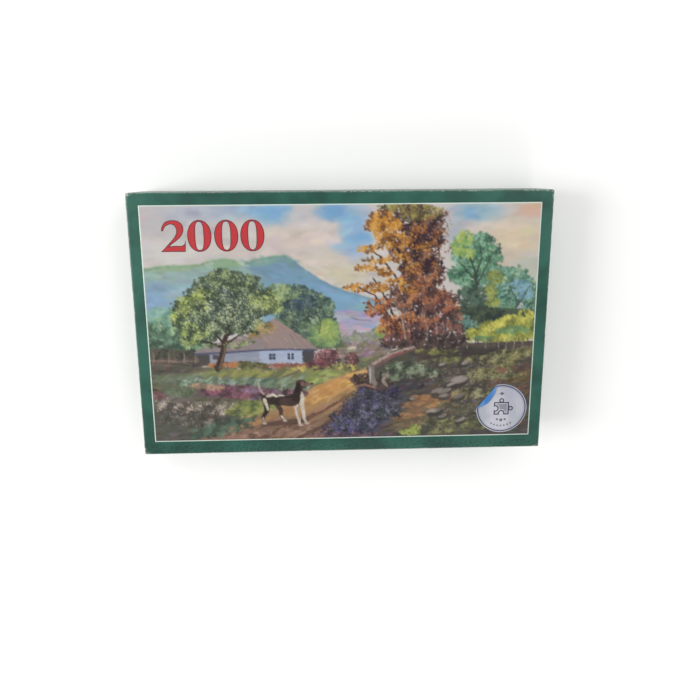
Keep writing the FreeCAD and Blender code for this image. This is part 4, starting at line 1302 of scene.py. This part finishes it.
def make_bag_film(name, body, material, seed):
    """A film bag drawn tight over the pieces, creased towards its two heat-sealed ends. Returns the
    filled part's middle in metres, and half its length, width and height in millimetres."""
    low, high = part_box(name)
    half_length = (high.x - low.x) / 2 / MM
    half_width = (high.y - low.y) / 2 / MM - SEAL_WIDTH
    half_height = (high.z - low.z) / 2 / MM
    middle = (low + high) / 2
    columns, rows = 110, 150
    u = np.linspace(-1, 1, columns)
    u = np.sign(u) * (1 - (1 - np.abs(u)) ** 1.35)
    v = np.linspace(-1, 1, rows) * (half_width + SEAL_WIDTH)
    x, y = np.meshgrid(u * half_length, v)
    beyond = np.clip((np.abs(y) - half_width) / SEAL_WIDTH, 0, 1)
    rise = pillow_rise(x, y, half_length, half_width)
    near_seal = np.exp(-np.clip(half_width - np.abs(y), 0, None) / 26.0)
    pleats = np.abs(ripples(x, y * 0.12, 13, seed)) - 0.6
    creases = 4.2 * np.clip(0.28 - np.abs(ripples(x, y, 26, seed + 1)), 0, 1)
    lumps = ripples(x, y, 11, seed + 2)
    narrowing = 1 - (0.012 + 0.012 * ripples(x * 0, y, 40, seed + 3)) * np.abs(u)[None, :] ** 4
    ragged = 0.35 * ripples(x, y * 0, 4, seed + 4)
    wave = 0.9 * ripples(x, y * 0.2, 34, seed + 5) * beyond
    y_out = y + np.sign(y) * np.where(beyond > 0.99, ragged, 0)
    relief = 1.3 * near_seal * pleats + 0.55 * creases + 0.5 * lumps * (1 - near_seal)
    relief = relief * np.clip(rise * 2.5, 0, 1)
    seal = SEAL_HALF_THICKNESS
    top = wave + seal + (half_height - TOP_ROOM - seal) * rise + relief
    bottom = wave - seal - (half_height - seal) * rise - 0.25 * relief
    bottom = np.maximum(bottom, -half_height + 0.05)
    vertices = []
    for height in (top, bottom):
        places = [middle.x + x * narrowing * MM, middle.y + y_out * MM, middle.z + height * MM]
        vertices.extend(np.stack(places, 2).reshape(-1, 3))
    upper = grid_faces(columns, rows)
    under = rows * columns
    rim = grid_rim(columns, rows)
    faces = upper.tolist() + (upper[:, ::-1] + under).tolist() + band([i + under for i in rim], rim)
    piece = piece_from(name, vertices, faces, material, body, "bag_film", name)
    piece.data.shade_smooth()
    return middle, half_length, half_width, half_height


def film_finish(half_width):
    """Clear polythene: creases catch the light, and the sealed ends are milky and ribbed."""
    f = Finish("clear_bag_film")
    crease = f.noise(0.02, 3, 0.55, f.stretched(1, 0.5, 1, 0.4), 1.5)
    fine = f.noise(0.006, 3, 0.6, f.stretched(1, 0.3, 1, -0.3), 1.0)
    ridge = (0.03 - abs(crease - 0.5)).ramp(0.0, 0.03)
    seal = (abs(f.y) - half_width * MM).ramp(0.0, 0.001)
    ribs = (f.y / (1.1 * MM) * 2 * math.pi).maths("SINE").ramp(-0.4, 0.6) * seal
    tone = f.mix(ridge.most(seal), colour("e4ebee"), colour("f4f6f7"))
    alpha = 0.09 + 0.25 * ridge + 0.1 * fine + 0.3 * seal + 0.12 * ribs
    roughness = 0.1 + 0.12 * fine + 0.2 * seal
    return f.surface(tone, roughness, 0.6 * crease + 0.25 * fine + 0.3 * ribs, 0.0006, alpha,
                     **{"IOR": 1.45, "Specular IOR Level": 0.6})


def side_points(start, end, knob):
    """Points along one side of a piece, up to but not including end. knob 0 is a straight side."""
    if knob == 0:
        return [start]
    along = (end - start).normalized()
    out = Vector((along.y, -along.x)) * knob
    middle = (start + end) / 2
    shape = [(-2.6, 0.0), (-1.5, 1.2), (-2.9, 3.0), (-1.7, PIECE_KNOB), (1.7, PIECE_KNOB), (2.9, 3.0),
             (1.5, 1.2), (2.6, 0.0)]
    return [start] + [middle + along * a + out * b for a, b in shape]


def make_piece_shape(index, dice, collection):
    """A low die-cut jigsaw piece centred on the origin, with a printed face, a back and cut sides."""
    corners = [Vector((sx * PIECE_LENGTH / 2, sy * PIECE_WIDTH / 2))
               for sx, sy in ((-1, -1), (1, -1), (1, 1), (-1, 1))]
    straight_sides = max(2 - index, 0)
    outline = []
    for side in range(4):
        knob = 0 if side < straight_sides else dice.choice((-1, 1))
        outline += side_points(corners[side], corners[(side + 1) % 4], knob)
    count = len(outline)
    vertices = [(p.x * MM, p.y * MM, side * PIECE_THICKNESS / 2 * MM) for side in (-1, 1) for p in outline]
    back, face = range(count), range(count, 2 * count)
    faces = [list(face), list(back)[::-1]] + band(back, face)
    mesh = bpy.data.meshes.new("loose_piece")
    mesh.from_pydata(vertices, [], faces)
    side_kind = mesh.attributes.new("Side", "FLOAT", "FACE")
    side_kind.data.foreach_set("value", [1.0, -1.0] + [0.0] * count)
    shape = bpy.data.objects.new("loose_piece", mesh)
    collection.objects.link(shape)


def heap_tree():
    """Geometry Nodes that put a random, tilted piece on each point of a mesh."""
    group = bpy.data.node_groups.new("heap_of_pieces", "GeometryNodeTree")
    for name, kind in (("Points", "Geometry"), ("Shapes", "Collection"), ("Material", "Material"),
                       ("Tilt", "Float"), ("Seed", "Int")):
        group.interface.new_socket(name, in_out="INPUT", socket_type="NodeSocket" + kind)
    group.interface.new_socket("Heap", in_out="OUTPUT", socket_type="NodeSocketGeometry")
    tree = Tree(group)
    points, shapes, material, tilt, seed = (tree.add("NodeGroupInput", output=i) for i in range(5))

    def any_number(low, high, salt):
        return tree.add("FunctionNodeRandomValue", {"data_type": "FLOAT"},
                        {2: low, 3: high, "Seed": seed + salt}, 1)

    def any_count(high, salt):
        return tree.add("FunctionNodeRandomValue", {"data_type": "INT"},
                        {4: 0, 5: high, "Seed": seed + salt}, 2)

    tinted = tree.add("GeometryNodeStoreNamedAttribute", {"data_type": "FLOAT", "domain": "POINT"},
                      {"Geometry": points, "Name": "Tint", "Value": any_number(0.0, 1.0, 7)})
    flip = any_count(1, 2)
    rotation = tree.add("ShaderNodeCombineXYZ", None,
                        {"X": any_number(-1.0, 1.0, 3) * tilt + flip * math.pi,
                         "Y": any_number(-1.0, 1.0, 4) * tilt, "Z": any_number(0.0, 2 * math.pi, 5)})
    pieces = tree.add("GeometryNodeCollectionInfo", None,
                      {"Collection": shapes, "Separate Children": True, "Reset Children": True})
    placed = tree.add("GeometryNodeInstanceOnPoints", None,
                      {"Points": tinted, "Instance": pieces, "Pick Instance": True,
                       "Instance Index": any_count(PIECE_SHAPES - 1, 1), "Rotation": rotation})
    real = tree.add("GeometryNodeRealizeInstances", None, {"Geometry": placed})
    coated = tree.add("GeometryNodeSetMaterial", None, {"Geometry": real, "Material": material})
    tree.add("NodeGroupOutput", None, {"Heap": coated})
    return group


def make_heap(name, body, group, shapes, material, bag, seed, nodes):
    """About a thousand loose pieces that fill one bag, as a single mesh."""
    middle, half_length, half_width, half_height = bag
    dice = np.random.default_rng(seed)
    spots = []
    rise_per_layer = (2 * half_height - 2 * BAG_CLEARANCE - PIECE_THICKNESS) / (HEAP_LAYERS - 1)
    across = int(2 * half_length / HEAP_PITCH)
    along = int(2 * half_width / HEAP_PITCH)
    for layer in range(HEAP_LAYERS):
        z = -half_height + BAG_CLEARANCE + PIECE_THICKNESS / 2 + layer * rise_per_layer
        shift = 0.5 + HEAP_STAGGER * (layer % 2) - 0.12
        for i in range(across):
            for j in range(along):
                x = (i + shift - across / 2) * HEAP_PITCH + dice.normal(0, 2)
                y = (j + shift - along / 2) * HEAP_PITCH + dice.normal(0, 2)
                drop = dice.normal(0, 0.7)
                rise = pillow_rise(abs(x) + PIECE_EDGE_ROOM, abs(y) + PIECE_EDGE_ROOM, half_length,
                                   half_width)
                if abs(z) < half_height * rise - BAG_CLEARANCE - TOP_ROOM:
                    spots.append((middle.x + x * MM, middle.y + y * MM, middle.z + (z + drop) * MM))
    mesh = bpy.data.meshes.new(name)
    mesh.from_pydata(spots, [], [])
    host = bpy.data.objects.new(name, mesh)
    bpy.context.scene.collection.objects.link(host)
    modifier = host.modifiers.new("heap", "NODES")
    modifier.node_group = group
    values = {"Shapes": shapes, "Material": material, "Tilt": HEAP_TILT, "Seed": seed}
    for item in group.interface.items_tree:
        if item.in_out == "INPUT" and item.name in values:
            modifier[item.identifier] = values[item.name]
    bpy.context.view_layer.update()
    heap = bpy.data.meshes.new_from_object(host.evaluated_get(bpy.context.evaluated_depsgraph_get()))
    bpy.data.objects.remove(host)
    finished(name, heap, material, body, "puzzle_board", *nodes)


def loose_piece_finish():
    """Jigsaw pieces: scraps of the picture on top, blue-grey board behind, and pale cut sides."""
    f = Finish("die_cut_pieces")
    side = f.attribute("Side", "Fac")
    tint = f.attribute("Tint", "Fac")
    inks = ("b9b0a8 9ab4c8 55664a 7c8a52 5a4a40 a87838 c08a44 6b8ea8 "
            "8a5a44 46503f a3a556 6b5b80 857c70 b48f69 5f7d66 98a472").split()
    stops = [(i / len(inks), colour(code)) for i, code in enumerate(inks)]
    first = f.add("ShaderNodeValToRGB", {"stops": stops}, {"Fac": tint})
    first.socket.node.color_ramp.interpolation = "CONSTANT"
    second = f.add("ShaderNodeValToRGB", {"stops": stops}, {"Fac": (tint * 7.3).maths("FRACT")})
    patch = f.noise(0.006, 3, 0.6).ramp(0.42, 0.58)
    dab = f.noise(0.0016, 3, 0.7)
    printed = f.shade(f.mix(patch * 0.7, first, second), 0.75 + 0.5 * dab)
    fibre = f.noise(0.0008, 3, 0.7)
    back = f.shade(colour("8f97a0"), 0.8 + 0.35 * fibre)
    cut = f.shade(colour("a39c90"), 0.7 + 0.5 * f.noise(0.0006, 2, 0.6, f.stretched(0.3, 0.3, 2)))
    tone = f.mix(side.ramp(0.3, 0.7), f.mix(side.ramp(-0.7, -0.3), back, cut), printed)
    roughness = 0.75 - 0.4 * side.ramp(0.3, 0.7) + 0.1 * fibre
    return f.surface(tone, roughness, 0.5 * dab + 0.5 * fibre, 0.00008)


def make_bags():
    shapes = bpy.data.collections.new("piece_shapes")
    dice = random.Random(PIECE_SHAPE_SEED)
    for index in range(PIECE_SHAPES):
        make_piece_shape(index, dice, shapes)
    group = heap_tree()
    printed_board = loose_piece_finish()
    low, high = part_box("bag_1_film")
    film = film_finish((high.y - low.y) / 2 / MM - SEAL_WIDTH)
    for number in (1, 2):
        name = "bag_%d" % number
        bag = make_bag_film(name + "_film", name, film, 20 * number)
        make_heap(name + "_loose_pieces", name, group, shapes, printed_board, bag, number,
                  [name + "_corner_pieces", name + "_edge_pieces", name + "_inner_pieces"])
    for shape in list(shapes.objects):
        bpy.data.objects.remove(shape)
    bpy.data.collections.remove(shapes)


# ---- stage, lights and camera --------------------------------------------------------------------
FLOOR_SIZE = 6.0


def make_stage():
    f = Finish("pale_floor")
    soft = f.noise(0.6, 2)
    material = f.surface(f.shade(colour("f4f4f2"), 0.97 + 0.04 * soft), 0.75 + 0.05 * soft)
    mesh = bpy.data.meshes.new("floor")
    half = FLOOR_SIZE / 2
    mesh.from_pydata([(-half, -half, 0), (half, -half, 0), (half, half, 0), (-half, half, 0)], [],
                     [(0, 1, 2, 3)])
    mesh.materials.append(material)
    floor = bpy.data.objects.new("floor", mesh)
    bpy.context.scene.collection.objects.link(floor)


def make_light(name, place, size, power):
    """A round lamp that faces the origin."""
    data = bpy.data.lights.new(name, "AREA")
    data.shape = "DISK"
    data.size = size
    data.energy = power
    light = bpy.data.objects.new(name, data)
    bpy.context.scene.collection.objects.link(light)
    light.location = place
    light.rotation_euler = (-Vector(place)).to_track_quat("-Z", "Y").to_euler()


def make_lights():
    """An even room that is dimmer overhead, and four soft lamps."""
    world = bpy.data.worlds.new("soft_room")
    bpy.context.scene.world = world
    world.use_nodes = True
    tree = Tree(world.node_tree)
    direction = tree.add("ShaderNodeTexCoord", output="Generated")
    upward = tree.add("ShaderNodeSeparateXYZ", None, {0: direction}, 2)
    strength = 0.95 - 0.7 * upward.ramp(0.25, 0.95)
    background = tree.add("ShaderNodeBackground", None, {"Color": (1, 1, 1, 1), "Strength": strength})
    tree.add("ShaderNodeOutputWorld", None, {"Surface": background})
    make_light("window", (-1.9, 0.1, 1.4), 1.2, 34)
    make_light("room", (1.4, 0.9, 1.8), 1.6, 17)
    make_light("fill", (0.2, -1.9, 1.1), 1.6, 11)
    make_light("back", (-0.2, 1.9, 1.6), 1.6, 11)


def make_camera():
    """A wide lens close above the lid, its view shifted so that hardly any of the walls shows."""
    data = bpy.data.cameras.new("camera")
    data.lens = 28.4
    data.sensor_width = 36.0
    data.shift_x = 0.0159
    data.shift_y = -0.1
    camera = bpy.data.objects.new("camera", data)
    bpy.context.scene.collection.objects.link(camera)
    camera.location = (-0.0194, 0.1552, 0.6179)
    camera.rotation_euler = [math.radians(turn) for turn in (-10.69, -1.68, -0.42)]
    bpy.context.scene.camera = camera


# ---- all of it -----------------------------------------------------------------------------------
def main():
    bpy.context.scene.view_settings.view_transform = "Standard"
    lid_paper = printed_paper("lid_green_laminate", LID_LENGTH, LID_WIDTH, LID_TOP, lid_low.z,
                              "275a4c", "173f35")
    tray_paper = printed_paper("tray_green_laminate", TRAY_LENGTH, TRAY_WIDTH, 0.0, tray_high.z,
                               "1f5044", "19443a")
    make_shell("lid_wrap", "lid", "cover_paper", LID_LENGTH, LID_WIDTH, lid_low.z, lid_high.z, True,
               lid_paper)
    make_shell("tray_wrap", "tray", "tray_paper", TRAY_LENGTH, TRAY_WIDTH, tray_low.z, tray_high.z, False,
               tray_paper)
    make_picture()
    make_figures("cover_figures_edge", 0.3, 0.03, ink_finish("dark_red_ink", "5c262e", "4c2430"))
    make_figures("cover_figures", -0.5, 0.06, ink_finish("red_ink", "b42c30", "a42e34"))
    make_label_disc(label_finish())
    make_label_flap(label_back_finish())
    make_bags()
    for mark, material in (("_board", greyboard_finish("greyboard", "b3aa9a")),
                           ("_corner_stay_", gummed_paper_finish())):
        for name, node in frame["nodes"].items():
            if mark in name:
                node.data.materials.clear()
                node.data.materials.append(material)
    make_stage()
    make_lights()
    make_camera()


main()
